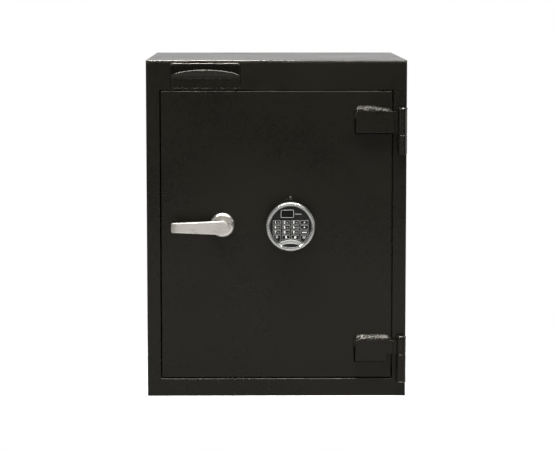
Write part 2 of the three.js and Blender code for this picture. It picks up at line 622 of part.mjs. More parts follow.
function makeCam() {
  const [pinX, pinZ] = camPin();
  const lean = Math.atan2(pinZ - HANDLE_Z, pinX - HANDLE_X);
  const outline = new THREE.Shape();
  outline.absarc(HANDLE_X, HANDLE_Z, CAM_HUB_RADIUS, lean + Math.PI / 2, lean + Math.PI * 1.5, false);
  outline.absarc(pinX, pinZ, CAM_EYE_RADIUS, lean - Math.PI / 2, lean + Math.PI / 2, false);
  const socket = SPINDLE_SIDE / 2 + SEAT;
  place(handle, 'cam_arm', cut(
    join(facing(outline, camY(), camY() + CAM_THICK, 0, CURVE_STEPS),
      roundBar(CAM_PIN_RADIUS, camY() + OVERRUN, PLATE_Y + PLATE_THICK + CAM_PIN_PROUD,
        'y', pinX, pinZ, SMALL_ROUND)),
    block(HANDLE_X - socket, HANDLE_X + socket, camY() - OVERRUN, camY() + CAM_THICK + OVERRUN,
      HANDLE_Z - socket, HANDLE_Z + socket)), zincSteel);
}

function makeBoltwork() {
  const hole = (z, slack) => roundBar(BOLT_RADIUS + slack, -SAFE_WIDTH / 2, 0, 'x', BOLT_Y, z);
  const holes = (slack) => Object.values(BOLTS).map((z) => hole(z, slack));
  const guideFront = DOOR_BACK + SEAT;
  const outerLeft = -DOOR_HALF + OUTER_GUIDE_INSET;
  place(door, 'bolt_guide_outer', cut(block(outerLeft, outerLeft + GUIDE_THICK,
    guideFront, DOOR_BACK + OUTER_GUIDE_DEPTH, BOLT_FOOT - GUIDE_END, BOLT_TOP + GUIDE_END),
  ...holes(RUN_FIT)), zincSteel);
  const barLeft = outerLeft + GUIDE_THICK + BOLT_THROW + BAR_REST_GAP;
  place(boltwork, 'bolt_bar', cut(block(barLeft, barLeft + BAR_THICK,
    guideFront + RUN_FIT, PLATE_Y - SEAT, BOLT_FOOT - BAR_END, BOLT_TOP + BAR_END),
  ...holes(SEAT)), zincSteel);
  const innerLeft = barLeft + BAR_THICK + INNER_GUIDE_GAP;
  place(door, 'bolt_guide_inner', cut(block(innerLeft, innerLeft + GUIDE_THICK,
    guideFront, DOOR_BACK + INNER_GUIDE_DEPTH, BOLT_FOOT - GUIDE_END, BOLT_TOP + GUIDE_END),
  ...holes(RUN_FIT)), zincSteel);
  for (const [name, z] of Object.entries(BOLTS)) {
    place(boltwork, `bolt_${name}`, turned([
      [0, 0], [BOLT_RADIUS - BOLT_NOSE, 0], [BOLT_RADIUS, BOLT_NOSE],
      [BOLT_RADIUS, BOLT_LENGTH], [0, BOLT_LENGTH],
    ]).rotateZ(-Math.PI / 2).translate(BOLT_TIP, BOLT_Y, z), zincSteel);
  }
  makeDrivePlate(barLeft);
}

// The drive plate is bolted behind the bolt bar: the cam pin moves it, and the lock bolt stops its tooth
function makeDrivePlate(left) {
  const [pinX, pinZ] = camPin();
  const foot = LOCK_TOP + TOOTH_RISE;
  const top = foot + PLATE_HEIGHT;
  const shelf = foot + TOOTH_HEIGHT;
  const shoulder = HANDLE_X + PLATE_SHOULDER;
  const toothLeft = LOCK_BOLT_X + LOCK_BOLT_WIDTH / 2 + TOOTH_CLEARANCE;
  const toothRight = toothLeft + TOOTH_WIDTH;
  const right = toothRight + PLATE_END;
  const outline = polygon([
    [left, foot], [shoulder, foot], [shoulder + TOOTH_HEIGHT, shelf], [toothLeft, shelf], [toothLeft, foot],
    [toothRight, foot], [toothRight, shelf], [right, shelf], [right, top], [left, top],
  ]);
  const reach = CAM_PIN_RADIUS + CAM_PIN_SLACK;
  const slotTop = HANDLE_Z + CAM_RADIUS + reach;
  const slot = facing(roundedRectangle(pinX - reach, pinX + reach, pinZ - reach, slotTop, reach),
    PLATE_Y - OVERRUN, PLATE_Y + PLATE_THICK + OVERRUN, 0, CURVE_STEPS);
  place(boltwork, 'drive_plate', cut(facing(outline, PLATE_Y, PLATE_Y + PLATE_THICK), slot), zincSteel);
}

function makeLock() {
  const hardFront = DOOR_BACK + SEAT;
  const hardBack = hardFront + HARD_PLATE_THICK;
  const hardHalf = HARD_PLATE_SIDE / 2;
  const bore = (radius, z) =>
    roundBar(radius, hardFront - OVERRUN, hardBack + OVERRUN, 'y', KEYPAD_X, z, SMALL_ROUND);
  place(door, 'hard_plate', cut(block(KEYPAD_X - hardHalf, KEYPAD_X + hardHalf, hardFront, hardBack,
    KEYPAD_Z - hardHalf, KEYPAD_Z + hardHalf),
  bore(CABLE_BORE, KEYPAD_Z), bore(SCREW_SHANK_RADIUS + SEAT, SCREW_Z)), zincSteel);
  const front = hardBack + SEAT;
  const boltY = PLATE_Y + PLATE_THICK / 2;
  const halfWidth = LOCK_BOLT_WIDTH / 2;
  const halfThick = LOCK_BOLT_THICK / 2;
  const boltTop = LOCK_TOP - SEAT;
  const well = block(LOCK_BOLT_X - halfWidth - RUN_FIT, LOCK_BOLT_X + halfWidth + RUN_FIT,
    boltY - halfThick - RUN_FIT, boltY + halfThick + RUN_FIT,
    boltTop - LOCK_BOLT_LENGTH - RUN_FIT, LOCK_TOP + OVERRUN);
  const caseOutline = roundedRectangle(KEYPAD_X - LOCK_WIDTH / 2, KEYPAD_X + LOCK_WIDTH / 2,
    LOCK_TOP - LOCK_HEIGHT, LOCK_TOP, LOCK_CORNER);
  place(door, 'lock_body', cut(facing(caseOutline, front, front + LOCK_DEPTH, LOCK_EDGE), well), zincSteel);
  place(door, 'lock_bolt', block(LOCK_BOLT_X - halfWidth, LOCK_BOLT_X + halfWidth,
    boltY - halfThick, boltY + halfThick, boltTop - LOCK_BOLT_LENGTH, boltTop), zincSteel);
}

// Everything on the keypad is drawn about its own middle and moved there at the end
function atKeypad(geometry) {
  return geometry.translate(KEYPAD_X, FRONT, KEYPAD_Z);
}

function lensCylinder(radius, from, to) {
  return roundBar(radius, from, to, 'y', 0, LENS_TOP - LENS_RADIUS, LENS_ROUND);
}

function keyOutline(column, row, slack) {
  const x = (column - (KEY_COLUMNS - 1) / 2) * KEY_PITCH_X;
  const z = KEY_TOP_ROW - row * KEY_PITCH_Z;
  const extra = row === KEY_ROWS - 1 ? LAST_ROW_EXTRA : 0;
  return roundedRectangle(x - KEY_WIDTH / 2 - slack, x + KEY_WIDTH / 2 + slack,
    z - KEY_HEIGHT / 2 - extra - slack, z + KEY_HEIGHT / 2 + slack, KEY_CORNER);
}

// Keys follow the ring at the sides and the lens below them
function keySolid(column, row, from, to, slack) {
  const plain = facing(keyOutline(column, row, slack), from, to);
  const before = from - OVERRUN;
  const past = to + OVERRUN;
  const rimRadius = KEYPAD_RADIUS - RING_WIDTH - LENS_MARGIN + slack;
  const inRing = common(plain, roundBar(rimRadius, before, past, 'y', 0, 0, KEYPAD_ROUND));
  return cut(inRing, lensCylinder(LENS_RADIUS + LENS_MARGIN - slack, before, past));
}

function makeKeypad() {
  place(door, 'keypad_base', atKeypad(turnedOutward([
    [0, SEAT], [KEYPAD_BASE_RADIUS, SEAT],
    ...arc(KEYPAD_BASE_RADIUS - BASE_FLANGE_ROUND, BASE_FLANGE - BASE_FLANGE_ROUND,
      BASE_FLANGE_ROUND, BASE_FLANGE_ROUND, 0, 90, CORNER_STEPS),
    [KEYPAD_BASE_RADIUS - 2 * BASE_FLANGE_ROUND, BASE_FLANGE],
    [KEYPAD_BASE_RADIUS - 2 * BASE_FLANGE_ROUND - BASE_TAPER, KEYPAD_BASE_HEIGHT], [0, KEYPAD_BASE_HEIGHT],
  ], 0, 0, 0, KEYPAD_ROUND)), blackPlastic);

  const faceFront = -KEYPAD_PROUD + FACE_SINK;
  const faceBack = faceFront + FACE_THICK;
  const ringBack = -KEYPAD_BASE_HEIGHT - SEAT;
  const ringInner = KEYPAD_RADIUS - RING_WIDTH;
  const disk = turnedOutward([
    [0, -ringBack], [KEYPAD_RADIUS - RING_SKIRT_ROUND, -ringBack],
    [KEYPAD_RADIUS, -ringBack + RING_SKIRT_ROUND],
    ...arc(KEYPAD_RADIUS - RING_WIDTH / 2, KEYPAD_PROUD - RING_ROUND, RING_WIDTH / 2, RING_ROUND,
      0, RING_WRAP, RIM_STEPS),
    [ringInner, KEYPAD_PROUD - LENS_SINK], [0, KEYPAD_PROUD - LENS_SINK],
  ], 0, 0, 0, KEYPAD_ROUND);
  const well = cut(roundBar(ringInner, -KEYPAD_PROUD - OVERRUN, ringBack + OVERRUN, 'y', 0, 0, KEYPAD_ROUND),
    lensCylinder(LENS_RADIUS, -KEYPAD_PROUD - 2 * OVERRUN, ringBack + 2 * OVERRUN));
  place(door, 'keypad_ring', atKeypad(cut(disk, well)), silverPlastic);

  const plate = cut(roundBar(ringInner - SEAT, faceFront, faceBack, 'y', 0, 0, KEYPAD_ROUND),
    lensCylinder(LENS_RADIUS + SEAT, faceFront - OVERRUN, faceBack + OVERRUN));
  const windowShape = (slack) => roundedRectangle(WINDOW.left - slack, WINDOW.right + slack,
    WINDOW.foot - slack, WINDOW.top + slack, WINDOW.round);
  const holes = [facing(windowShape(SEAT), faceFront - OVERRUN, faceFront + WINDOW.sink)];
  for (let row = 0; row < KEY_ROWS; row += 1) {
    for (let column = 0; column < KEY_COLUMNS; column += 1) {
      holes.push(keySolid(column, row, faceFront - OVERRUN, faceBack + OVERRUN, KEY_GAP));
    }
  }
  place(door, 'keypad_face', atKeypad(cut(plate, ...holes)), blackPlastic);
  place(door, 'display_window', atKeypad(
    facing(windowShape(0), faceFront - WINDOW.proud, faceFront + WINDOW.sink - SEAT, WINDOW.edge)), darkGlass);
  const keyFront = faceFront - KEY_PROUD;
  for (let row = 0; row < KEY_ROWS; row += 1) {
    for (let column = 0; column < KEY_COLUMNS; column += 1) {
      const name = `key_${row + 1}_${column + 1}`;
      place(door, name, atKeypad(keySolid(column, row, keyFront, keyFront + KEY_THICK, 0)), keyRubber);
    }
  }
  const headFront = FRONT - SCREW_HEAD_HEIGHT;
  place(door, 'service_screw', cut(turnedOutward([
    [0, -SCREW_LENGTH], [SCREW_SHANK_RADIUS, -SCREW_LENGTH],
    [SCREW_SHANK_RADIUS, SEAT], [SCREW_HEAD_RADIUS, SEAT],
    [SCREW_HEAD_RADIUS, SCREW_HEAD_HEIGHT - SCREW_HEAD_ROUND],
    [SCREW_HEAD_RADIUS - SCREW_HEAD_ROUND, SCREW_HEAD_HEIGHT], [0, SCREW_HEAD_HEIGHT],
  ], KEYPAD_X, SCREW_Z, FRONT, SMALL_ROUND),
  roundBar(SCREW_SOCKET_RADIUS, headFront - OVERRUN, headFront + SCREW_SOCKET_DEPTH, 'y',
    KEYPAD_X, SCREW_Z, HEXAGON)), satinNickel);
}

// The front is one folded sheet: a flush face, a ledge, a wall set back to make room for the fingertips, and a
// rim that comes forward over the pocket to a round edge
function makeDrawer() {
  const left = DRAWER_X - DRAWER_HALF;
  const right = DRAWER_X + DRAWER_HALF;
  const ledgeUnder = POCKET_FLOOR - DRAWER_SHEET;
  const rimUnder = DRAWER_TOP - DRAWER_SHEET;
  const nose = DRAWER_SHEET / 2;
  const bendY = POCKET_FACE - POCKET_BEND;
  const bendZ = rimUnder - POCKET_BEND;
  const outerBend = POCKET_BEND + DRAWER_SHEET;
  const folded = across(polygon([
    [DRAWER_FACE, DRAWER_FOOT], [DRAWER_FACE, POCKET_FLOOR], [POCKET_FACE, POCKET_FLOOR],
    ...arc(bendY, bendZ, POCKET_BEND, POCKET_BEND, 0, 90, RIM_STEPS),
    ...arc(DRAWER_FACE + nose, rimUnder + nose, nose, nose, 270, 90, CURVE_STEPS),
    ...arc(bendY, bendZ, outerBend, outerBend, 90, 0, RIM_STEPS), [POCKET_FACE + DRAWER_SHEET, ledgeUnder],
    [DRAWER_FACE + DRAWER_SHEET, ledgeUnder], [DRAWER_FACE + DRAWER_SHEET, DRAWER_FOOT],
  ]), left, right, DRAWER_EDGE_ROUND);
  const cheek = block(0, DRAWER_SHEET, DRAWER_FACE + LIP_THICK + SEAT, POCKET_FACE + OVERRUN,
    POCKET_FLOOR - OVERRUN, rimUnder + OVERRUN);
  place(drawer, 'drawer_front', join(folded, cheek.clone().translate(left, 0, 0),
    cheek.clone().translate(right - DRAWER_SHEET, 0, 0)), blackPaint);
  makePull();
  makeTray();
}

// The lip stands on the ledge and leans out in a curve, and its outline is half an ellipse
function makePull() {
  const start = THREE.MathUtils.degToRad(LIP_START);
  const end = THREE.MathUtils.degToRad(LIP_END);
  const bend = LIP_RISE / (Math.sin(end) - Math.sin(start));
  const lipFoot = POCKET_FLOOR + SEAT;
  const centreY = DRAWER_FACE + LIP_THICK - bend * Math.cos(start);
  const centreZ = lipFoot - bend * Math.sin(start);
  const profile = new THREE.Shape();
  profile.absarc(centreY, centreZ, bend, start, end, false);
  profile.absarc(centreY, centreZ, bend - LIP_THICK, end, start, true);
  const half = DRAWER_HALF - SEAT;
  const arch = new THREE.Shape();
  arch.moveTo(DRAWER_X - half, lipFoot - LIP_THICK);
  arch.lineTo(DRAWER_X + half, lipFoot - LIP_THICK);
  arch.lineTo(DRAWER_X + half, lipFoot + LIP_SHOULDER);
  arch.absellipse(DRAWER_X, lipFoot + LIP_SHOULDER, half, LIP_RISE - LIP_SHOULDER, 0, Math.PI, false, 0);
  place(drawer, 'drawer_pull', common(
    across(profile, DRAWER_X - DRAWER_HALF, DRAWER_X + DRAWER_HALF, 0, RIM_STEPS),
    facing(arch, FRONT - POCKET_DEPTH, FRONT + POCKET_DEPTH, 0, 2 * CURVE_STEPS)), blackPaint);
}

// The floor falls towards the open rear end
function makeTray() {
  const foot = DRAWER_OPENING_FOOT + SEAT;
  const left = DRAWER_X - TRAY_WIDTH / 2;
  const right = DRAWER_X + TRAY_WIDTH / 2;
  const side = block(0, TRAY_SHEET, TRAY_FRONT, TRAY_BACK, foot, foot + TRAY_HEIGHT);
  const floor = across(polygon([
    [TRAY_FRONT, foot + TRAY_SLOPE_RISE], [TRAY_BACK, foot], [TRAY_BACK, foot + TRAY_SHEET],
    [TRAY_FRONT, foot + TRAY_SLOPE_RISE + TRAY_SHEET],
  ]), left, right);
  const front = block(left, right, TRAY_FRONT, TRAY_FRONT + TRAY_SHEET, foot, foot + TRAY_HEIGHT);
  place(drawer, 'drawer_tray', join(front, floor, side.clone().translate(left, 0, 0),
    side.clone().translate(right - TRAY_SHEET, 0, 0)), innerPaint);
}

function makeHousing() {
  const innerHalf = DRAWER_HALF + HOUSING_SIDE_GAP;
  const front = FRAME_BACK + SEAT;
  const rear = front + HOUSING_LENGTH;
  const top = UNDER_TOP - SEAT;
  const wall = (x0) => block(x0, x0 + HOUSING_SHEET, front, rear, HOUSING_FOOT, top);
  const pivotZ = flapPivotZ();
  const pinHole = roundBar(FLAP_PIN_RADIUS + SEAT, DRAWER_X - innerHalf * 2, DRAWER_X + innerHalf * 2, 'x',
    FLAP_Y, pivotZ, SMALL_ROUND);
  place(cabinet, 'housing_left_wall', cut(wall(DRAWER_X - innerHalf - HOUSING_SHEET), pinHole), innerPaint);
  place(cabinet, 'housing_right_wall', cut(wall(DRAWER_X + innerHalf), pinHole), innerPaint);
  place(cabinet, 'housing_floor', block(DRAWER_X - innerHalf + SEAT, DRAWER_X + innerHalf - SEAT,
    front, TRAY_BACK - TRAY_OVERHANG, HOUSING_FOOT, DRAWER_OPENING_FOOT), innerPaint);

  // The deflector closes the housing behind, and its lip leans forward under the throat
  const lean = THREE.MathUtils.degToRad(DEFLECTOR_LEAN);
  const bendZ = top - DEFLECTOR_DROP;
  const lipY = rear - HOUSING_SHEET - DEFLECTOR_LIP * Math.sin(lean);
  const lipZ = bendZ - DEFLECTOR_LIP * Math.cos(lean);
  place(cabinet, 'deflector_plate', across(polygon([
    [rear + SEAT, top], [rear + SEAT, bendZ], [lipY + SEAT, lipZ],
    [lipY + SEAT + HOUSING_SHEET * Math.SQRT2, lipZ],
    [rear + SEAT + HOUSING_SHEET, bendZ], [rear + SEAT + HOUSING_SHEET, top],
  ]), DRAWER_X - innerHalf - HOUSING_SHEET, DRAWER_X + innerHalf + HOUSING_SHEET), innerPaint);

  const flapHalf = innerHalf - FLAP_GAP;
  const leaf = block(DRAWER_X - flapHalf, DRAWER_X + flapHalf, FLAP_Y - FLAP_SHEET / 2, FLAP_Y + FLAP_SHEET / 2,
    pivotZ - FLAP_HEIGHT, pivotZ);
  const rod = (radius, half) =>
    roundBar(radius, DRAWER_X - half, DRAWER_X + half, 'x', FLAP_Y, pivotZ, SMALL_ROUND);
  const knuckle = rod(FLAP_KNUCKLE, flapHalf);
  const pin = rod(FLAP_PIN_RADIUS, innerHalf + HOUSING_SHEET);
  place(drawer, 'deposit_flap', join(leaf, knuckle, pin), innerPaint);
}

function flapPivotZ() {
  return UNDER_TOP - FLAP_KNUCKLE - FLAP_HEADROOM;
}

makeCabinet();
makeFrontFrame();
makeJambPieces();
makeDoorPlate();
makeHinge('upper', DOOR_TOP - UPPER_STRAP_DROP, UPPER_KNUCKLES);
makeHinge('lower', DOOR_FOOT + LOWER_STRAP_RISE, LOWER_KNUCKLES);
makeHandle();
makeCam();
makeBoltwork();
makeLock();
makeKeypad();
makeDrawer();
makeHousing();

export default safe;
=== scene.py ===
import json
import random
from math import asin, cos, pi, radians, sin, sqrt, tau

import bmesh
import bpy
from mathutils import Matrix, Vector, noise


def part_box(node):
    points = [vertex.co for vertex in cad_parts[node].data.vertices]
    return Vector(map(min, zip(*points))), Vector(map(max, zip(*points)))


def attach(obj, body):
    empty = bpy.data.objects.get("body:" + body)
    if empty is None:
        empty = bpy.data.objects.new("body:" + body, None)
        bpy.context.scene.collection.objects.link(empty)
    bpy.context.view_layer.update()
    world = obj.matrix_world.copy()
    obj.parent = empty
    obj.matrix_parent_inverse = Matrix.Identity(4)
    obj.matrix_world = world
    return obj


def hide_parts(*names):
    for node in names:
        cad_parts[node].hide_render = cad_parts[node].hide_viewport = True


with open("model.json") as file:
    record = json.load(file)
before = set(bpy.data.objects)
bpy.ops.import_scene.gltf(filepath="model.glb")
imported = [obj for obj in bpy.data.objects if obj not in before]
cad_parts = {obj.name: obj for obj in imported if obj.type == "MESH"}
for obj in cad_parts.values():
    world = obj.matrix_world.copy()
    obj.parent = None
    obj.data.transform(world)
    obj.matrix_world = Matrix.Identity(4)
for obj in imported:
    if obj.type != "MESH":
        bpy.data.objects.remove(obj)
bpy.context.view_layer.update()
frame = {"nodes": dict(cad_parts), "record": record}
nodes = frame["nodes"]
scene = bpy.context.scene
scene.view_settings.view_transform = "Standard"
dice = random.Random(11)


def linked(name, data):
    """A new object in the scene."""
    item = bpy.data.objects.new(name, data)
    scene.collection.objects.link(item)
    return item


# Camera, fitted to the edges of the photograph
PHOTO_WIDTH = 554
FOCAL_PIXELS = 2126.63
SENSOR = 36.0
CAMERA_PLACE = (-0.0438, -4.3924, 0.801)
CAMERA_DOWN, CAMERA_TURN = 0.1111, -0.0108

camera_data = bpy.data.cameras.new("camera")
camera_data.sensor_width = SENSOR
camera_data.lens = FOCAL_PIXELS * SENSOR / PHOTO_WIDTH
camera_data.clip_end = 60
camera = linked("camera", camera_data)
camera.location = CAMERA_PLACE
camera.rotation_euler = (pi / 2 - CAMERA_DOWN, 0, CAMERA_TURN)
scene.camera = camera

# Shader nodes
BEVEL_SAMPLES = 6
COLOUR_A, COLOUR_B, COLOUR_RESULT = 6, 7, 2


class Graph:
    """Short calls for the shader nodes of a material or of the world."""

    def __init__(self, tree):
        self.nodes = tree.nodes
        self.links = tree.links

    def feed(self, socket, value):
        """Links an input to an output, or sets it to a constant."""
        if isinstance(value, bpy.types.NodeSocket):
            self.links.new(value, socket)
        else:
            socket.default_value = value

    def add(self, kind, **inputs):
        """A new node with the named inputs fed."""
        node = self.nodes.new(kind)
        for key, value in inputs.items():
            self.feed(node.inputs[key.replace("_", " ")], value)
        return node

    def ordered(self, kind, values):
        """A new node with its first inputs fed in order."""
        node = self.nodes.new(kind)
        for socket, value in zip(node.inputs, values):
            self.feed(socket, value)
        return node

    def math(self, operation, *values):
        node = self.ordered("ShaderNodeMath", values)
        node.operation = operation
        return node.outputs["Value"]

    def vector_math(self, operation, *values):
        node = self.ordered("ShaderNodeVectorMath", values)
        node.operation = operation
        return node.outputs["Value"]

    def blend(self, factor, first, second):
        """One shader laid over another by a factor."""
        return self.ordered("ShaderNodeMixShader", (factor, first, second)).outputs["Shader"]

    def span(self, value, low, high, start=0.3, end=0.7, smooth=False):
        """Carries the range from start to end over to the range from low to high."""
        node = self.add("ShaderNodeMapRange", Value=value, From_Min=start, From_Max=end,
                        To_Min=low, To_Max=high)
        if smooth:
            node.interpolation_type = "SMOOTHSTEP"
        return node.outputs["Result"]

    def ramp(self, value, stops):
        node = self.add("ShaderNodeValToRGB", Fac=value)
        elements = node.color_ramp.elements
        while len(elements) < len(stops):
            elements.new(0.5)
        for element, (at, colour) in zip(elements, stops):
            element.position = at
            element.color = (*colour, 1)
        return node.outputs["Color"]

    def split(self, vector):
        return self.add("ShaderNodeSeparateXYZ", Vector=vector).outputs

    def white_behind(self, behind):
        """1 for the rays of the camera and through glass, and for reflections of what lies behind."""
        path = self.nodes.new("ShaderNodeLightPath").outputs
        direct = self.math("MAXIMUM", path["Is Camera Ray"], path["Is Transmission Ray"])
        return self.math("MAXIMUM", direct, self.math("MULTIPLY", path["Is Glossy Ray"], behind))


class Shader(Graph):
    """A Principled material whose detail comes from noise in the object's own coordinates."""

    def __init__(self, name, **constants):
        self.material = bpy.data.materials.new(name)
        self.material.use_nodes = True
        super().__init__(self.material.node_tree)
        self.bsdf = self.nodes["Principled BSDF"]
        self.place = self.nodes.new("ShaderNodeTexCoord").outputs["Object"]
        for key, value in constants.items():
            self.bsdf.inputs[key.replace("_", " ")].default_value = value

    def noise(self, scale, detail, rough, stretch=None):
        source = self.place
        if stretch:
            source = self.add("ShaderNodeMapping", Vector=source, Scale=stretch).outputs["Vector"]
        node = self.add("ShaderNodeTexNoise", Vector=source, Scale=scale, Detail=detail, Roughness=rough)
        return node.outputs["Fac"]

    def mix(self, factor, first, second):
        """A constant colour laid over another one by a factor."""
        node = self.nodes.new("ShaderNodeMix")
        node.data_type = "RGBA"
        self.feed(node.inputs["Factor"], factor)
        self.feed(node.inputs[COLOUR_A], first)
        self.feed(node.inputs[COLOUR_B], (*second, 1))
        return node.outputs[COLOUR_RESULT]

    def bevel(self, radius):
        """The normal over edges rounded to a radius."""
        node = self.add("ShaderNodeBevel", Radius=radius)
        node.samples = BEVEL_SAMPLES
        return node.outputs["Normal"]

    def edge(self, radius):
        """1 on sharp edges, 0 on flats."""
        flat = self.nodes.new("ShaderNodeNewGeometry").outputs["Normal"]
        turned_away = self.math("SUBTRACT", 1.0, self.vector_math("DOT_PRODUCT", self.bevel(radius), flat))
        return self.span(turned_away, 0.0, 1.0, 0.02, 0.25)

    def finish(self, colour, rough, bevel, layers):
        """Links colour, roughness and bumps. A bump is (height, distance in metres, strength)."""
        normal = self.bevel(bevel)
        for height, distance, strength in layers:
            node = self.add("ShaderNodeBump", Height=height, Distance=distance, Strength=strength,
                            Normal=normal)
            normal = node.outputs["Normal"]
        for name, socket in (("Base Color", colour), ("Roughness", rough), ("Normal", normal)):
            self.links.new(socket, self.bsdf.inputs[name])
        return self.material


# Paints
PAINT_TINT = (1.0, 0.95, 0.84, 1)
DUST, EDGE_WEAR_AND_SHEEN = (0.06, 0.058, 0.05), (0.06, 0.058, 0.052)
SATIN = ((0.0016, 0.0014, 0.0008), (0.0028, 0.0025, 0.0014))
# Near-black matt tones for painted shade, such as the painted shadow lines under the hinge straps
PAINTED_SHADE_TONES = ((0.0004, 0.0004, 0.0002), (0.0008, 0.0007, 0.0004))
INSIDE = ((0.015, 0.0145, 0.0115), (0.023, 0.0222, 0.0185))


def black_paint(name, colours, roughness, peel=0.12, level=0.22, ior=1.5):
    """Paint with broad clouds, specks of dust, edges lightened partly by wear and partly as a painted
    highlight, and orange peel.
    """
    s = Shader(name, Metallic=0.0, IOR=ior, Specular_IOR_Level=level, Specular_Tint=PAINT_TINT)
    dark, light = colours
    middle = tuple((a + b) / 2 for a, b in zip(dark, light))
    broad = s.noise(5.0, 5.0, 0.6)
    fine = s.noise(140.0, 4.0, 0.65)
    base = s.ramp(broad, [(0.32, dark), (0.5, middle), (0.7, light)])
    specks = s.span(s.noise(620.0, 2.0, 0.5), 0.0, 1.0, 0.72, 0.8)
    base = s.mix(s.math("MULTIPLY", specks, 0.12), base, DUST)
    # Sharp edges are lightened: partly wear, partly a painted highlight along them
    wear_and_sheen = s.span(s.noise(60.0, 5.0, 0.7), 0.0, 0.4, 0.45, 0.75)
    base = s.mix(s.math("MULTIPLY", s.edge(0.0012), wear_and_sheen), base, EDGE_WEAR_AND_SHEEN)
    rough = s.math("ADD", s.span(broad, *roughness), s.span(fine, -0.03, 0.05))
    waves = (s.noise(26.0, 2.0, 0.5), 0.0006, 0.035)
    return s.finish(base, rough, 0.0006, [waves, (s.noise(420.0, 2.0, 0.5), 0.00012, peel)])


paint = black_paint("paint_black_satin", SATIN, (0.24, 0.34))
paint_weld = black_paint("paint_over_weld", SATIN, (0.2, 0.3), 0.3, 0.5)
paint_bead = black_paint("paint_over_beads", SATIN, (0.42, 0.58), 0.35, 0.2)
paint_bead_low = black_paint("paint_over_low_beads", SATIN, (0.36, 0.5), 0.35, 0.36)
# Matt near-black paint that stands as painted shade
painted_shade_paint = black_paint("paint_painted_shade", PAINTED_SHADE_TONES, (0.6, 0.75), 0.3, 0.03)
paint_gloss = black_paint("paint_on_round_edges", SATIN, (0.16, 0.24), 0.03, 1.0, 1.65)
paint_barrel = black_paint("paint_on_barrels", SATIN, (0.2, 0.3), 0.12, 0.4)
paint_inside = black_paint("paint_inside_matt", INSIDE, (0.5, 0.66), 0.5, 0.3)


# Metals
def metal(name, low, high, roughness, grain, across=(1, 1, 1), spots=0.0):
    """Brushed metal with faint clouds, and with blotches where spots is more than nothing."""
    s = Shader(name, Metallic=1.0)
    streak = s.noise(grain, 3.0, 0.6, stretch=across)
    cloud = s.noise(24.0, 4.0, 0.6)
    base = s.ramp(cloud, [(0.3, low), (0.7, high)])
    if spots:
        blotch = s.span(s.noise(90.0, 5.0, 0.7), 0.0, spots, 0.5, 0.72)
        base = s.mix(blotch, base, tuple(v * 0.55 for v in low))
    rough = s.math("ADD", s.span(streak, *roughness), s.span(cloud, -0.03, 0.05))
    return s.finish(base, rough, 0.0007, [(streak, 0.00006, 0.3), (s.noise(700.0, 2.0, 0.5), 0.00004, 0.2)])


nickel = metal("nickel_satin", (0.50, 0.478, 0.437), (0.57, 0.547, 0.505), (0.26, 0.36), 180.0, (0.06, 1, 1))
# A darker copy of the nickel for the lever's hub: painted shade just above the lever's root
painted_shade_nickel = metal("nickel_in_shade", (0.26, 0.25, 0.23), (0.32, 0.31, 0.29), (0.45, 0.55), 200.0)
dark_nickel = metal("nickel_dark", (0.07, 0.068, 0.064), (0.11, 0.105, 0.1), (0.3, 0.4), 200.0)
zinc = metal("steel_zinc_plated", (0.42, 0.425, 0.42), (0.58, 0.58, 0.55), (0.3, 0.46), 260.0,
             (1, 1, 0.12), 0.5)
bright = metal("steel_bolt_bright", (0.55, 0.55, 0.54), (0.66, 0.66, 0.64), (0.16, 0.26), 320.0,
               (0.08, 1, 1), 0.15)
satin_silver = metal("plastic_silver_satin", (0.24, 0.24, 0.23), (0.3, 0.3, 0.285), (0.4, 0.5), 300.0)


# Plastics, rubber and ink
def plastic(name, low, high, roughness, texture, strength, level):
    """Plastic with faint clouds, rubbed edges and a fine texture."""
    s = Shader(name, Metallic=0.0, Specular_IOR_Level=level)
    base = s.ramp(s.noise(60.0, 4.0, 0.6), [(0.3, low), (0.7, high)])
    rubbed = tuple(min(v * 1.8 + 0.01, 1.0) for v in high)
    base = s.mix(s.math("MULTIPLY", s.edge(0.0007), 0.35), base, rubbed)
    rough = s.span(s.noise(35.0, 4.0, 0.6), *roughness)
    return s.finish(base, rough, 0.0004, [(s.noise(texture, 2.0, 0.5), 0.00008, strength)])


black_plastic = plastic("plastic_black", (0.0035, 0.0035, 0.003), (0.006, 0.006, 0.0052), (0.34, 0.46),
                        1500.0, 0.3, 0.2)
key_rubber = plastic("rubber_keys", (0.0045, 0.0044, 0.004), (0.007, 0.0068, 0.006), (0.5, 0.62),
                     1800.0, 0.35, 0.15)
ink_white = plastic("ink_white", (0.5, 0.5, 0.48), (0.6, 0.6, 0.58), (0.45, 0.6), 1500.0, 0.1, 0.4)
ink_light = plastic("ink_light", (0.22, 0.22, 0.21), (0.3, 0.3, 0.29), (0.45, 0.6), 1500.0, 0.1, 0.4)
window_glass = plastic("window_dark", (0.004, 0.004, 0.0035), (0.006, 0.006, 0.005), (0.05, 0.1),
                       300.0, 0.02, 0.12)


def silver_plastic():
    """Plastic with a metallic coat of fine flakes."""
    s = Shader("plastic_silver", Metallic=1.0)
    flake = s.noise(2600.0, 1.0, 0.5)
    base = s.ramp(s.noise(50.0, 3.0, 0.5), [(0.3, (0.38, 0.38, 0.365)), (0.7, (0.45, 0.45, 0.43))])
    waves = (s.noise(40.0, 2.0, 0.5), 0.0003, 0.08)
    return s.finish(base, s.span(flake, 0.22, 0.3), 0.0005, [(flake, 0.00003, 0.25), waves])


def dress(material, *names):
    """Puts a material on every material slot of CAD nodes."""
    for name in names:
        materials = nodes[name].data.materials
        if not materials:
            materials.append(material)
        for i in range(len(materials)):
            materials[i] = material


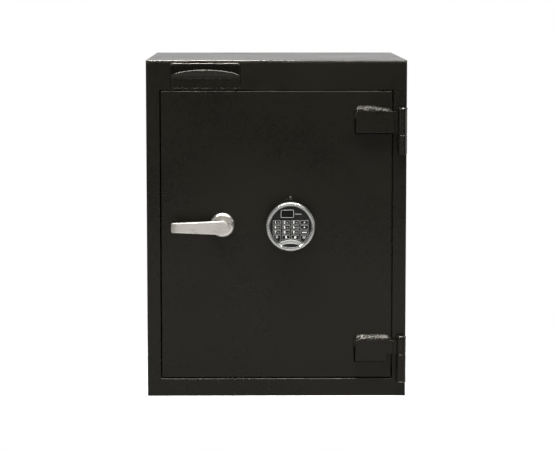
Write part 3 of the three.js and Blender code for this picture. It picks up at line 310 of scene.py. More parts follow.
finishes = {"black_paint": paint, "inner_paint": paint_inside, "satin_nickel": nickel, "zinc_steel": zinc,
            "black_plastic": black_plastic, "silver_plastic": silver_plastic(), "key_rubber": key_rubber,
            "dark_window": window_glass}
for part in frame["record"]["subparts"]:
    dress(finishes[part["material_slot"]], part["node"])
dress(bright, "bolt_lower", "bolt_middle", "bolt_upper")
dress(dark_nickel, "service_screw")

# Helpers for shapes
MERGE = 1e-7
SHARP = radians(40)
FORWARD, BACK, UP, DOWN, LEFT, RIGHT = (
    (0, -1, 0), (0, 1, 0), (0, 0, 1), (0, 0, -1), (-1, 0, 0), (1, 0, 0))


def around(count):
    """Angles evenly spaced over a full turn."""
    return [tau * k / count for k in range(count)]


def spread(start, end, steps):
    """Values evenly spaced from start to end, both included."""
    return [start + (end - start) * i / steps for i in range(steps + 1)]


def rod_ring(x, y, z, radius, count=16):
    """A circle across a line along x."""
    return [(x, y - radius * cos(t), z + radius * sin(t)) for t in around(count)]


def lump(x, coarse, fine, weight=0.6, seeds=((3.1, 0.4), (7.7, 1.9))):
    """Noise along x, in a coarse size and a fine size."""
    first, second = (noise.noise(Vector((x / size, *seed))) for size, seed in zip((coarse, fine), seeds))
    return first + weight * second


class Shape:
    """Vertices and faces of a piece, gathered from several lofts."""

    def __init__(self):
        self.verts = []
        self.faces = []

    def loft(self, rings, closed=True):
        """Skins rings of points, and closes the rings and both ends unless closed is false."""
        start = len(self.verts)
        count = len(rings[0])
        for ring in rings:
            self.verts.extend(ring)
        for i in range(len(rings) - 1):
            for j in range(count if closed else count - 1):
                a = start + i * count + j
                b = start + i * count + (j + 1) % count
                self.faces.append((a, b, b + count, a + count))
        if closed:
            self.faces.append(tuple(range(start, start + count))[::-1])
            last = start + (len(rings) - 1) * count
            self.faces.append(tuple(range(last, last + count)))
        return self


def from_bmesh(name, work, material, body, smooth=False):
    """Makes a piece of a bmesh. It rides a body and fills a slot."""
    data = bpy.data.meshes.new(name)
    work.to_mesh(data)
    work.free()
    for polygon in data.polygons:
        polygon.use_smooth = smooth
    data.materials.append(material)
    item = linked(name, data)
    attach(item, body)
    return item


def piece(name, shape, material, body, smooth=True, crisp=None):
    """Makes a piece of a shape. Edges that bend by more than crisp are split, so that they shade as sharp."""
    data = bpy.data.meshes.new("gathered")
    data.from_pydata([tuple(v) for v in shape.verts], [], shape.faces)
    work = bmesh.new()
    work.from_mesh(data)
    bpy.data.meshes.remove(data)
    bmesh.ops.remove_doubles(work, verts=work.verts, dist=MERGE)
    bmesh.ops.recalc_face_normals(work, faces=work.faces)
    if crisp:
        edges = [edge for edge in work.edges if len(edge.link_faces) == 2 and edge.calc_face_angle() > crisp]
        bmesh.ops.split_edges(work, edges=edges)
    return from_bmesh(name, work, material, body, smooth)


# Weld beads
BEAD_ARC = 12
BEAD_FROM, BEAD_SWEEP = -4, 98
BEAD_ROOT = 0.0004
BEAD_GRAIN = 0.004
BEAD_END, BEAD_TAPER = 0.12, 0.7
BEAD_STEP, BEAD_BEND = 0.22, 0.45


def bead_rings(run, pitch, lumps, crown):
    """Rings of a run (start, end, out_a, out_b, size_a, size_b) in the corner between out_a and out_b."""
    start, end, out_a, out_b = (Vector(v) for v in run[:4])
    size_a, size_b = run[4:]
    way = end - start
    length = way.length
    steps = max(int(length / (pitch * BEAD_STEP)), 12)
    offset = dice.uniform(0, 50)
    taper = size_b * BEAD_TAPER
    rings = []
    for u in spread(0.0, 1.0, steps):
        full = max(min(1.0, (u * length / taper) ** 0.5, ((1 - u) * length / taper) ** 0.5), BEAD_END)
        corner = start + way * u
        ring = [corner - (out_a + out_b) * BEAD_ROOT]
        for j in range(BEAD_ARC + 1):
            t = radians(BEAD_FROM + BEAD_SWEEP * j / BEAD_ARC)
            bend = sin(t * 2) * BEAD_BEND
            phase = (u * length / pitch + bend + offset) % 1.0
            ripple = 0.9 + 0.1 * sqrt(max(0.0, 1 - (2 * phase - 1) ** 2))
            rough = noise.noise(Vector((u * length / BEAD_GRAIN + offset, j * 0.55, offset)))
            k = full * (ripple + lumps * rough)
            rise = size_b * k * (crown(u) if crown else 1.0) * sin(t)
            ring.append(corner + out_a * (size_a * k * cos(t)) + out_b * rise)
        rings.append(ring)
    return rings


def weld(name, runs, body, pitch, lumps, material=paint_weld, crown=None):
    """Makes one piece of weld runs. A crown tells how high the bead is along its way, from 0 to 1."""
    shape = Shape()
    for run in runs:
        shape.loft(bead_rings(run, pitch, lumps, crown))
    piece(name, shape, material, body)


# Sizes of the door and of the hinges
DOOR_LOW, DOOR_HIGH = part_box("door_plate")
FRONT = DOOR_LOW.y
DOOR_EDGE = DOOR_HIGH.x
SEAT = 0.0003
STRAP_THICK, STRAP_HEIGHT, STRAP_SOFT = 0.012, 0.042, 0.0012
STRAP_RIGHT = DOOR_EDGE + 0.003
STRAP_LEFT = STRAP_RIGHT - 0.074
STRAP_TOPS = {"upper": DOOR_HIGH.z - 0.081 + STRAP_HEIGHT, "lower": DOOR_LOW.z + 0.0325 + STRAP_HEIGHT}
HINGE_X, HINGE_Y = 0.245, -0.264
BARREL, BARREL_SOFT = 0.009, 0.0010
BARREL_GAP = 0.0005
NECK_FRONT, NECK_BACK = 0.003, 0.010
FOOT_HALF = 0.0055
PIN, HEAD = 0.0045, 0.010
PIN_DENTS, FOOT_DENTS = 0.0011, 0.0008
PIN_HEAD = [(0.0, HEAD - 0.0004), (0.0004, HEAD), (0.0012, HEAD), (0.0021, HEAD - 0.0005),
            (0.0028, HEAD - 0.0015), (0.0033, HEAD - 0.0033), (0.0036, 0.0035), (0.0036, 0.0015)]
FOOT_RING = [(0.0288, 0.0040), (0.0286, 0.0080), (0.0290, 0.0093), (0.0298, 0.0098), (0.0307, 0.0095),
             (0.0312, 0.0088), (0.0313, 0.0080)]

# Bead sizes, as (out from the door, along the door)
TOP_BEAD = (STRAP_THICK + 0.0004, 0.0112)
START_BEAD, START_LENGTH = (STRAP_THICK + 0.0006, 0.0108), 0.0135
SIDE_BEAD, SIDE_ABOVE, SIDE_BELOW = (0.0076, 0.0034), 0.003, 0.014
FOOT_BEAD, LOW_SIDE_BEAD, LOW_SIDE_FROM = (0.007, 0.0026), (0.006, 0.0026), 0.013
KNUCKLE_BEAD, KNUCKLE_IN = (0.003, 0.003), 0.004


def strap_welds(suffix, fall, fall_from, coat, foot_gap):
    """Beads round a strap. The heavy one on top is high on the left and falls off towards the barrel. The
    matt near-black beads at its foot and low on its left side are a painted shadow.
    """
    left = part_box(f"hinge_strap_{suffix}")[0].x - SEAT
    right = DOOR_EDGE + 0.002
    back = FRONT - SEAT
    top = STRAP_TOPS[suffix]
    foot = top - STRAP_HEIGHT
    side = STRAP_LEFT

    def crown(u):
        return 1.0 - fall * (max(0.0, u - fall_from) / (1 - fall_from)) ** 1.3 - max(0.0, 0.12 - u)

    run = ((left, back, top), (right, back, top), FORWARD, UP, *TOP_BEAD)
    weld(f"hinge_weld_{suffix}", [run], "door", 0.0046, 0.13, coat, crown)
    run = ((left - 0.0003, back, top), (left + START_LENGTH, back, top), FORWARD, UP, *START_BEAD)
    weld(f"hinge_weld_start_{suffix}", [run], "door", 0.0046, 0.06)
    run = ((side, back, top + SIDE_ABOVE), (side, back, top - SIDE_BELOW), FORWARD, LEFT, *SIDE_BEAD)
    weld(f"hinge_side_weld_{suffix}", [run], "door", 0.004, 0.12)
    # The foot bead and the low side bead are a painted shadow under and left of the strap, in matt near-black
    runs = [((left + 0.001, back, foot), (right - foot_gap, back, foot), FORWARD, DOWN, *FOOT_BEAD),
            ((side, back, top - LOW_SIDE_FROM), (side, back, foot - 0.001), FORWARD, LEFT, *LOW_SIDE_BEAD)]
    weld(f"strap_painted_shadow_line_{suffix}", runs, "door", 0.006, 0.03, painted_shade_paint)


def knuckle_welds(suffix):
    """Beads on both sides of a frame knuckle's foot."""
    low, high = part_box(f"frame_knuckle_{suffix}")
    back = FRONT - 0.0001
    runs = []
    for side in (-1, 1):
        x = (low.x + high.x) / 2 + side * FOOT_HALF
        ends = ((x, back, high.z - KNUCKLE_IN), (x, back, low.z + KNUCKLE_IN))
        runs.append((*ends, FORWARD, (side, 0, 0), *KNUCKLE_BEAD))
    weld(f"knuckle_weld_{suffix}", runs, "cabinet", 0.0035, 0.1)


strap_welds("upper", fall=0.62, fall_from=0.4, coat=paint_bead, foot_gap=0.0)
strap_welds("lower", fall=0.3, fall_from=0.8, coat=paint_bead_low, foot_gap=0.013)
knuckle_welds("upper")
knuckle_welds("lower")

# The top sheet, a hair lower than the CAD plate so that the weld on it stays inside the box. Its front edge
# is crisp over the drawer; to the right the joint is welded and roughly ground to a larger radius
PLATE_LOW, PLATE_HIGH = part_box("top_plate")
SHEET_TOP = PLATE_HIGH.z - 0.00015
GROUND_FROM, GROUND_BLEND, GROUND_DENT = -0.026, 0.01, 0.00022
CRISP, GROUND = 0.0011, 0.0027
FLAT_FROM = (0.0048, 0.0052, 0.0056)


def sheet_section(x):
    """The outline of the top sheet at x, from the front's foot over the top to the rear's foot."""
    blend = min(max((x - GROUND_FROM) / GROUND_BLEND, 0.0), 1.0)
    radius = CRISP + (GROUND - CRISP) * blend * (1 + 0.3 * lump(x, 0.006, 0.0024, 0.7))
    front, rear = PLATE_LOW.y, PLATE_HIGH.y
    ring = [(x, front, PLATE_LOW.z), (x, front, SHEET_TOP - radius - 0.00005)]
    for i, t in enumerate(spread(0, pi / 2, 8)):
        dent = max(blend * GROUND_DENT * noise.noise(Vector((x / 0.0016, i * 0.7, 5.0))), 0)
        y = front + radius * (1 - cos(t)) + dent
        ring.append((x, y, SHEET_TOP - radius * (1 - sin(t)) - dent))
    ring += [(x, front + inset, SHEET_TOP) for inset in FLAT_FROM]
    ring += [(x, rear - inset, SHEET_TOP) for inset in FLAT_FROM[:0:-1]]
    for t in spread(0, pi / 2, 4):
        ring.append((x, rear - CRISP * (1 - sin(t)), SHEET_TOP - CRISP * (1 - cos(t))))
    ring.append((x, rear, PLATE_LOW.z))
    return ring


sheet_steps = [PLATE_LOW.x, PLATE_LOW.x + 0.0008, -0.15] + spread(GROUND_FROM, PLATE_HIGH.x, 460)
shape = Shape().loft([sheet_section(x) for x in sheet_steps])
top_sheet = piece("top_sheet", shape, paint, "cabinet")
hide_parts("top_plate")

# The lumpy weld in the top's front edge
SEAM_LEFT, SEAM_RIGHT, SEAM_STEPS = -0.032, 0.075, 300
SEAM_IN, SEAM_DOWN, SEAM_CLEAR = 0.0014, 0.0015, 0.00003
SEAM_RADIUS, SEAM_LUMP, SEAM_LEAST = 0.0013, 0.0017, 0.0002


def seam_ring(i, x):
    """A circle of the weld that stays under the plate's top, and is thin at both ends."""
    ends = min(1.0, i / 12, (SEAM_STEPS - i) / 150)
    r = max(SEAM_RADIUS + SEAM_LUMP * lump(x, 0.0042, 0.0019), SEAM_LEAST) * max(ends, 0.1)
    ring = rod_ring(x, PLATE_LOW.y + SEAM_IN, PLATE_HIGH.z - SEAM_DOWN, 1.2 * r)
    return [(x, y, min(z, PLATE_HIGH.z - SEAM_CLEAR)) for x, y, z in ring]


shape = Shape().loft([seam_ring(i, x) for i, x in enumerate(spread(SEAM_LEFT, SEAM_RIGHT, SEAM_STEPS))])
piece("top_seam_weld", shape, paint_gloss, "cabinet")

# Ink on the keys
INK = 0.00012
OUTLINE_INSET, OUTLINE_WIDTH = 0.0003, 0.00045
SIGN_DROP = 0.00395
DOT_RADIUS = 0.0013
DASH = [(-0.0046, 0.0046, -0.0008, 0.0004)]
LINES = [(-0.0036, 0.0030, 0.0002, 0.0010), (-0.0036, 0.0014, -0.0021, -0.0013)]
DIGIT_SIZE, DIGIT_SHIFT, DIGIT_BOLD = 0.0066, -0.0030, 0.00022
STAR_SIZE, STAR_DROP = 0.0105, 0.0022
LETTER_SIZE, LETTER_SHIFT, LETTER_DROP, LETTER_SQUEEZE = 0.0032, 0.0028, 0.0004, 0.85
FLAT = 2e-6
LEGENDS = [[("1", "QZ"), ("2", "ABC"), ("3", "DEF"), "dot"],
           [("4", "GHI"), ("5", "JKL"), ("6", "MNO"), "dot"],
           [("7", "PRS"), ("8", "TUV"), ("9", "WXY"), DASH],
           [("*", ""), ("0", ""), ("#", ""), LINES]]


def in_plane(node):
    """The front face of a CAD node as a loop of (x, z), and its y."""
    data = nodes[node].data
    spots = [tuple(round(c, 6) for c in v.co) for v in data.vertices]
    front = min(spot[1] for spot in spots)
    count = {}
    for polygon in data.polygons:
        corners = [spots[i] for i in polygon.vertices]
        if all(corner[1] < front + FLAT for corner in corners):
            for i, corner in enumerate(corners):
                key = frozenset((corner, corners[i - 1]))
                count[key] = count.get(key, 0) + 1
    after = {}
    for key in sorted((tuple(sorted(key)) for key, times in count.items() if times == 1)):
        after.setdefault(key[0], []).append(key[1])
        after.setdefault(key[1], []).append(key[0])
    loop = [min(after)]
    previous = None
    while True:
        step = [spot for spot in after[loop[-1]] if spot != previous][0]
        if step == loop[0]:
            break
        previous = loop[-1]
        loop.append(step)
    return [(x, z) for x, y, z in loop], front


def shrunk(loop, inset):
    """A closed outline moved inward by the same distance all along."""
    pairs = list(zip(loop, loop[1:] + loop[:1]))
    side = 1 if sum(a[0] * b[1] - b[0] * a[1] for a, b in pairs) > 0 else -1
    result = []
    for i, (point, following) in enumerate(pairs):
        here = Vector(point)
        before = (here - Vector(loop[i - 1])).normalized()
        after = (Vector(following) - here).normalized()
        normal = Vector((-before.y - after.y, before.x + after.x)).normalized() * side
        stretch = max(normal.dot(Vector((-before.y, before.x)) * side), 0.5)
        result.append(tuple(here + normal * (inset / stretch)))
    return result


def printed(work, loop, inset, width, y, thick):
    """Adds to a bmesh the raised band that follows a loop, set in from it."""
    outer = shrunk(loop, inset)
    inner = shrunk(loop, inset + width)
    rings = [[work.verts.new((x, depth, z)) for x, z in ring]
             for ring, depth in ((outer, y), (outer, y - thick), (inner, y - thick), (inner, y))]
    count = len(loop)
    for k in range(4):
        near, far = rings[k], rings[(k + 1) % 4]
        for i in range(count):
            j = (i + 1) % count
            work.faces.new((near[i], near[j], far[j], far[i]))


def lettering(work, text, size, x, y, z, squeeze=1.0, heavy=0.0):
    """Adds to a bmesh a text of ink, centred at x and z on a face at y."""
    curve = bpy.data.curves.new("letters", "FONT")
    curve.body = text
    curve.size = size
    curve.extrude = INK / 2
    curve.offset = heavy
    curve.resolution_u = 3
    curve.align_x = "CENTER"
    curve.align_y = "CENTER"
    item = linked("letters", curve)
    bpy.context.view_layer.update()
    data = bpy.data.meshes.new_from_object(item.evaluated_get(bpy.context.evaluated_depsgraph_get()))
    upright_text = Matrix.Rotation(pi / 2, 4, "X") @ Matrix.Diagonal((squeeze, 1, 1, 1))
    data.transform(Matrix.Translation((x, y - INK / 2, z)) @ upright_text)
    work.from_mesh(data)
    bpy.data.objects.remove(item)
    bpy.data.curves.remove(curve)
    bpy.data.meshes.remove(data)


def raised(work, corners):
    """Adds to a bmesh a flat area of ink."""
    face = work.faces.new([work.verts.new(corner) for corner in corners])
    grown = bmesh.ops.extrude_face_region(work, geom=[face])["geom"]
    bmesh.ops.translate(work, vec=(0, -INK, 0), verts=[v for v in grown if isinstance(v, bmesh.types.BMVert)])


def bar(work, x0, x1, z0, z1, y):
    raised(work, [(x0, y, z0), (x1, y, z0), (x1, y, z1), (x0, y, z1)])


def ink_piece(name, work, material, body):
    bmesh.ops.recalc_face_normals(work, faces=work.faces)
    from_bmesh(name, work, material, body)


def signs(sign, work, bold, x, y, z):
    """Adds the sign of a key, its light part to one bmesh and its white part to the other."""
    if sign == "dot":
        raised(bold, [(x + DOT_RADIUS * cos(a), y, z + DOT_RADIUS * sin(a)) for a in around(16)])
    elif isinstance(sign, list):
        for x0, x1, z0, z1 in sign:
            bar(bold, x + x0, x + x1, z + z0, z + z1, y)
    elif sign[0] == "*":
        lettering(bold, sign[0], STAR_SIZE, x, y, z - STAR_DROP)
    else:
        digit, letters = sign
        lettering(bold, digit, DIGIT_SIZE, x + (DIGIT_SHIFT if letters else 0.0), y, z, heavy=DIGIT_BOLD)
        if letters:
            lettering(work, letters, LETTER_SIZE, x + LETTER_SHIFT, y, z - LETTER_DROP, LETTER_SQUEEZE)


for row, keys in enumerate(LEGENDS, 1):
    for column, sign in enumerate(keys, 1):
        key = f"key_{row}_{column}"
        loop, face_y = in_plane(key)
        low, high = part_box(key)
        work = bmesh.new()
        bold = bmesh.new()
        printed(work, loop, OUTLINE_INSET, OUTLINE_WIDTH, face_y, INK)
        signs(sign, work, bold, (low.x + high.x) / 2, face_y, high.z - SIGN_DROP)
        ink_piece(f"outline_{row}_{column}", work, ink_light, key)
        ink_piece(f"legend_{row}_{column}", bold, ink_white, key)


# The hinges, with true round barrels and domed pin heads
def upright(profile, dents=0.0):
    """Rings about the hinge's axis for (z, radius) pairs, with dents in them."""
    rings = []
    for z, r in profile:
        ring = []
        for t in around(64):
            dent = dents * abs(noise.noise(Vector((4.0 * cos(t), 4.0 * sin(t), z / 0.0016))))
            reach = r - dent
            ring.append((HINGE_X + reach * cos(t), HINGE_Y + reach * sin(t), z - 0.6 * dent))
        rings.append(ring)
    return rings


def barrel(foot, top):
    """Rings of a barrel with soft edges."""
    soft = [(BARREL_SOFT * (1 - sin(t)), BARREL - BARREL_SOFT * (1 - cos(t)))
            for t in spread(0, pi / 2, 5)]
    low_edge = [(foot + inset, radius) for inset, radius in reversed(soft)]
    high_edge = [(top - inset, radius) for inset, radius in soft]
    steady = [(foot + BARREL_SOFT + 0.0004, BARREL), (top - BARREL_SOFT - 0.0004, BARREL)]
    return upright(low_edge + steady + high_edge)


def box_rings(x0, x1, y0, y1, z0, z1):
    return [[(x0, y, z0), (x1, y, z0), (x1, y, z1), (x0, y, z1)] for y in (y0, y1)]


def strap_rings(outline):
    """Rings of a strap with a soft front edge, from the door's face to its own."""
    back = FRONT - SEAT
    front = back - STRAP_THICK
    rings = [[(x, y, z) for x, z in outline] for y in (back, front + STRAP_SOFT + 0.0003)]
    for t in spread(0, pi / 2, 5):
        inset = STRAP_SOFT * (1 - cos(t))
        rings.append([(x, front + STRAP_SOFT * (1 - sin(t)), z) for x, z in shrunk(outline, inset)])
    rings.append([(x, front, z) for x, z in shrunk(outline, STRAP_SOFT + 0.0004)])
    return rings


def hinge(suffix, base, top, joint, foot, crest, notch, barrel_paint):
    """Strap, barrel, frame knuckle and pin. A notch frees the strap's lower right corner for the knuckle."""
    back = FRONT - SEAT
    front = back - STRAP_THICK
    neck_foot = max(base, joint + BARREL_GAP)
    outline = [(STRAP_LEFT, base), (STRAP_RIGHT, base), (STRAP_RIGHT, top), (STRAP_LEFT, top)]
    if notch:
        inner = STRAP_RIGHT - notch
        outline[1:2] = [(inner, base), (inner, neck_foot), (STRAP_RIGHT, neck_foot)]
    shape = Shape().loft(strap_rings(outline))
    shape.loft(box_rings(STRAP_RIGHT - 0.001, HINGE_X, front + NECK_FRONT, front + NECK_BACK,
                         neck_foot, top))
    strap = piece(f"strap_{suffix}", shape, paint, "door", crisp=SHARP)
    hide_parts(f"hinge_strap_{suffix}")
    shape = Shape().loft(barrel(joint + BARREL_GAP, crest))
    piece(f"barrel_{suffix}", shape, barrel_paint, "door", crisp=SHARP)

    shape = Shape().loft(barrel(foot, joint))
    shape.loft(box_rings(HINGE_X - FOOT_HALF, HINGE_X + FOOT_HALF, HINGE_Y, back,
                         foot + BARREL_SOFT, joint - BARREL_SOFT))
    knuckle = piece(f"knuckle_{suffix}", shape, barrel_paint, "cabinet", crisp=SHARP)
    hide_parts(f"frame_knuckle_{suffix}")

    head = crest + SEAT
    profile = [(foot + BARREL, PIN), (head, PIN)] + [(head + rise, radius) for rise, radius in PIN_HEAD]
    shape = Shape().loft(upright(profile, PIN_DENTS))
    pin = piece(f"pin_{suffix}", shape, paint_weld, "cabinet", crisp=SHARP)
    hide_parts(f"hinge_pin_{suffix}")


hinge("upper", base=0.520, top=0.562, joint=0.516, foot=0.4786, crest=0.5664, notch=0.0,
      barrel_paint=paint_barrel)
hinge("lower", base=0.070, top=0.112, joint=0.0846, foot=0.0298, crest=0.1177, notch=0.012,
      barrel_paint=paint)
shape = Shape().loft(upright(FOOT_RING, FOOT_DENTS))
piece("knuckle_foot_ring", shape, paint_weld, "cabinet")

# The lever: a tapered blade with soft edges, bowed a little and curled back at its tip, on a waisted hub
ROSE_LOW, ROSE_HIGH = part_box("handle_rose")
LEVER_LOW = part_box("lever_handle")[0]
AXIS_X, AXIS_Z = (ROSE_LOW.x + ROSE_HIGH.x) / 2, (ROSE_LOW.z + ROSE_HIGH.z) / 2
LEVER_TIP = LEVER_LOW.x + 0.0022
LEVER_CURL, LEVER_SAG, LEVER_BOW = 0.0125, 0.0032, 0.0008
ROOT_HALF, TIP_HALF = 0.01345, 0.0095
LEVER_CORNER, LEVER_SOFT = 0.0026, 0.0011
TOP_DROP, BOTTOM_DROP = 0.0012, 0.0006
BLADE_THICK = 0.013
WASHER = [(0.0002, 0.0150), (0.0080, 0.0150), (0.0082, 0.0171), (0.0087, 0.0172), (0.0089, 0.0170),
          (0.0089, 0.0107), (0.0080, 0.0106)]
HUB = [(0.0084, 0.0104), (0.0100, 0.0105), (0.0370, 0.0105), (0.0376, 0.0103)]


def quarter(distance, radius):
    """How far a rounded corner stands back at a distance from its edge."""
    return radius - sqrt(max(radius ** 2 - (radius - min(distance, radius)) ** 2, 0))


def blade_section(x):
    """The lever's outline at x, with four soft corners."""
    past_tip = x - LEVER_TIP
    run = min(past_tip / (AXIS_X - LEVER_TIP), 1.0)
    half = TIP_HALF + (ROOT_HALF - TIP_HALF) * run
    if x > AXIS_X:
        half = sqrt(max(ROOT_HALF ** 2 - (x - AXIS_X) ** 2, 1e-8))
    half -= quarter(past_tip, LEVER_CORNER)
    curl = max(0.0, 1 - past_tip / LEVER_CURL) ** 2
    front = LEVER_LOW.y + LEVER_SAG * curl + quarter(past_tip, LEVER_SOFT) + LEVER_BOW * (1 - run) ** 2
    back = LEVER_LOW.y + BLADE_THICK + 0.8 * LEVER_SAG * curl
    soft = min(LEVER_SOFT, half * 0.6)
    top, bottom = AXIS_Z + half - TOP_DROP, AXIS_Z - half - BOTTOM_DROP
    corners = ((front + soft, top - soft, 90), (front + soft, bottom + soft, 180),
               (back - soft, bottom + soft, 270), (back - soft, top - soft, 0))
    ring = []
    for y, z, start in corners:
        turns = [radians(angle) for angle in spread(start, start + 90, 5)]
        points = [Vector((x, y + soft * cos(t), z + soft * sin(t))) for t in turns]
        lead = Vector((0, sin(turns[0]), -cos(turns[0]))) * 0.0004
        trail = Vector((0, -sin(turns[-1]), cos(turns[-1]))) * 0.0004
        ring += [points[0] + lead] + points + [points[-1] + trail]
    return ring


tip_steps = [LEVER_TIP + LEVER_CURL * (1 - cos(t)) for t in spread(0, pi / 2, 14)]
even_steps = [LEVER_TIP + LEVER_CURL + (AXIS_X - LEVER_TIP - LEVER_CURL) * i / 20 for i in range(1, 21)]
root_steps = [AXIS_X + ROOT_HALF * sin(t) for t in spread(0, pi / 2, 16)[1:]]
shape = Shape().loft([blade_section(x) for x in tip_steps + even_steps + root_steps])
lever = piece("lever_grip", shape, nickel, "handle")
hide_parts("lever_handle")


def turned(profile):
    """Rings about the handle's axis for (rise from the door's face, radius) pairs."""
    return [[(AXIS_X + r * cos(t), FRONT - rise, AXIS_Z + r * sin(t)) for t in around(64)]
            for rise, r in profile]


piece("lever_washer", Shape().loft(turned(WASHER)), nickel, "handle", crisp=SHARP)
# The hub is in the darker nickel, a painted shade
piece("lever_hub", Shape().loft(turned(HUB)), painted_shade_nickel, "handle", crisp=SHARP)

# The lip: a curved sheet whose arched edge is rounded
PULL_LOW, PULL_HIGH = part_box("drawer_pull")
LIP_THICK = 0.0013
LIP_START, LIP_END = radians(3), radians(24)
LIP_RISE = 0.0165
LIP_BEND = LIP_RISE / (sin(LIP_END) - sin(LIP_START)) - LIP_THICK
LIP_SHOULDER = 0.0015
LIP_PROUD = 0.0002
LIP_FOOT = 0.0012
LIP_OUTER = LIP_BEND + LIP_THICK
LIP_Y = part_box("drawer_front")[0].y - LIP_PROUD + 2 * LIP_THICK - LIP_OUTER * cos(LIP_START)
LIP_Z = PULL_LOW.z - LIP_OUTER * sin(LIP_START)
LIP_MIDDLE = (PULL_LOW.x + PULL_HIGH.x) / 2
LIP_HALF = (PULL_HIGH.x - PULL_LOW.x) / 2
LIP_ARCH = PULL_HIGH.z - PULL_LOW.z - LIP_SHOULDER


def lip_lean(z):
    """How far the sheet leans at a height."""
    return asin((z - LIP_Z) / LIP_BEND)


def lip_out(lean):
    """The way off the sheet's front."""
    return Vector((0, -cos(lean), -sin(lean)))


def lip_point(x, z, out=0.0):
    """A point on the sheet's middle surface, or off it by half the thickness."""
    lean = lip_lean(z)
    reach = LIP_BEND - out
    return Vector((x, LIP_Y + reach * cos(lean), LIP_Z + reach * sin(lean)))


def lip_column(x):
    """The outline of the sheet's section at x, from its foot in front over the edge to its foot behind."""
    reach = min(abs(x - LIP_MIDDLE) / LIP_HALF, 1.0)
    top = PULL_LOW.z + LIP_SHOULDER + LIP_ARCH * sqrt(1 - reach * reach) - LIP_THICK
    heights = spread(PULL_LOW.z - LIP_FOOT, top, 8)
    front = [lip_point(x, z, LIP_THICK) for z in heights]
    centre = lip_point(x, top)
    lean = lip_lean(top)
    out, up = lip_out(lean), Vector((0, -sin(lean), cos(lean)))
    cap = [centre + (out * cos(t) + up * sin(t)) * LIP_THICK for t in spread(0, pi, 10)[1:-1]]
    behind = [lip_point(x, z, -LIP_THICK) for z in reversed(heights)]
    return front + cap + behind


def lip_ring(angle, radius):
    """A ring of the bead of paint on the lip's edge, at an angle along its half ellipse."""
    x = LIP_MIDDLE + (LIP_HALF - LIP_THICK) * cos(angle)
    z = PULL_LOW.z + LIP_SHOULDER + (LIP_ARCH - LIP_THICK) * sin(angle)
    along = Vector((-LIP_HALF * sin(angle), 0, LIP_ARCH * cos(angle))).normalized()
    out = lip_out(lip_lean(z))
    out = (out - along * out.dot(along)).normalized()
    other = along.cross(out)
    return [lip_point(x, z) + (out * cos(a) + other * sin(a)) * radius for a in around(14)]


shape = Shape().loft([lip_column(LIP_MIDDLE - (LIP_HALF - 0.0002) * cos(t)) for t in spread(0, pi, 72)])
pull_lip = piece("pull_lip", shape, paint, "drawer")
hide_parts("drawer_pull")
shape = Shape().loft([lip_ring(radians(angle), LIP_THICK + 0.0001) for angle in spread(5, 175, 72)])
piece("lip_edge", shape, paint_weld, "drawer")

# The rim of the drawer's front, a round edge that turns down at both ends
RIM_LOW, RIM_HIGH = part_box("drawer_front")
RIM_IN, RIM_BACK, RIM_DOWN = 0.0012, 0.0015, 0.00147
RIM_RADIUS, RIM_TURN = 0.00152, 0.004


def rim_ring(centre, a):
    along = Vector((cos(pi / 2 - a), 0, sin(pi / 2 - a)))
    up = Vector(FORWARD).cross(along)
    return [centre + (Vector(FORWARD) * cos(t) + up * sin(t)) * RIM_RADIUS for t in around(16)]


rings = []
turns = [radians(angle) for angle in spread(0, 90, 8)]
rim_start = Vector((RIM_LOW.x + RIM_IN, RIM_LOW.y + RIM_BACK, RIM_HIGH.z - RIM_DOWN))
rim_end = Vector((RIM_HIGH.x - RIM_IN, RIM_LOW.y + RIM_BACK, RIM_HIGH.z - RIM_DOWN))
for end, side, order in ((rim_start, 1, turns), (rim_end, -1, turns[::-1])):
    for a in order:
        turn = Vector((side * RIM_TURN * (1 - cos(a)), 0, RIM_TURN * (sin(a) - 1)))
        rings.append(rim_ring(end + turn, a if side > 0 else pi - a))
piece("rim_edge", Shape().loft(rings), paint_gloss, "drawer")

# The top's front edge over the drawer
EDGE_IN, EDGE_RADIUS = 0.0012, 0.00125
EDGE_LEFT, EDGE_LENGTH = PLATE_LOW.x + 0.0008, 0.2232
shape = Shape().loft([rod_ring(EDGE_LEFT + EDGE_LENGTH * i / 40, PLATE_LOW.y + EDGE_IN, SHEET_TOP - EDGE_IN,
                               EDGE_RADIUS, 20) for i in range(41)])
piece("top_edge_ground", shape, paint_gloss, "cabinet")

# The edge of the doorway's sill, roughly ground in one place
DOORWAY_FOOT = DOOR_LOW.z - 0.0025
SILL_LEFT, SILL_RIGHT, SILL_STEPS = DOOR_LOW.x - 0.0021, DOOR_HIGH.x + 0.0021, 640
SILL_OUT, SILL_DOWN = 0.0001, 0.0013
SILL_RADIUS, SILL_DENT = 0.0006, 0.0006
GRIND_LEFT, GRIND_RIGHT, GRIND_BLEND = -0.196, -0.118, 0.01
rings = []
for x in spread(SILL_LEFT, SILL_RIGHT, SILL_STEPS):
    ground = min(max((x - GRIND_LEFT) / GRIND_BLEND, 0.0), max((GRIND_RIGHT - x) / GRIND_BLEND, 0.0), 1.0)
    r = SILL_RADIUS + SILL_DENT * ground * lump(x, 0.0022, 0.001, seeds=((2.3, 0.9), (1.7, 4.9)))
    rings.append(rod_ring(x, FRONT + SILL_OUT, DOORWAY_FOOT - SILL_DOWN, r))
piece("sill_edge", Shape().loft(rings), paint_weld, "cabinet")

# Markings round the display, in places about the keypad's middle
RING_LOW, RING_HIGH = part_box("keypad_ring")
KEYPAD = Vector(((RING_LOW.x + RING_HIGH.x) / 2, RING_LOW.y, (RING_LOW.z + RING_HIGH.z) / 2))
FRAME_X, FRAME_Z, FRAME_CORNER = (-0.0191, 0.0061), (0.0179, 0.0333), 0.0016
FRAME_INSET, FRAME_WIDTH, FRAME_THICK, FRAME_SUNK = 0.0001, 0.0007, 0.0003, 0.0002
STROKE_X, STROKE_Z = (0.0087, 0.0212), (0.0241, 0.0253)


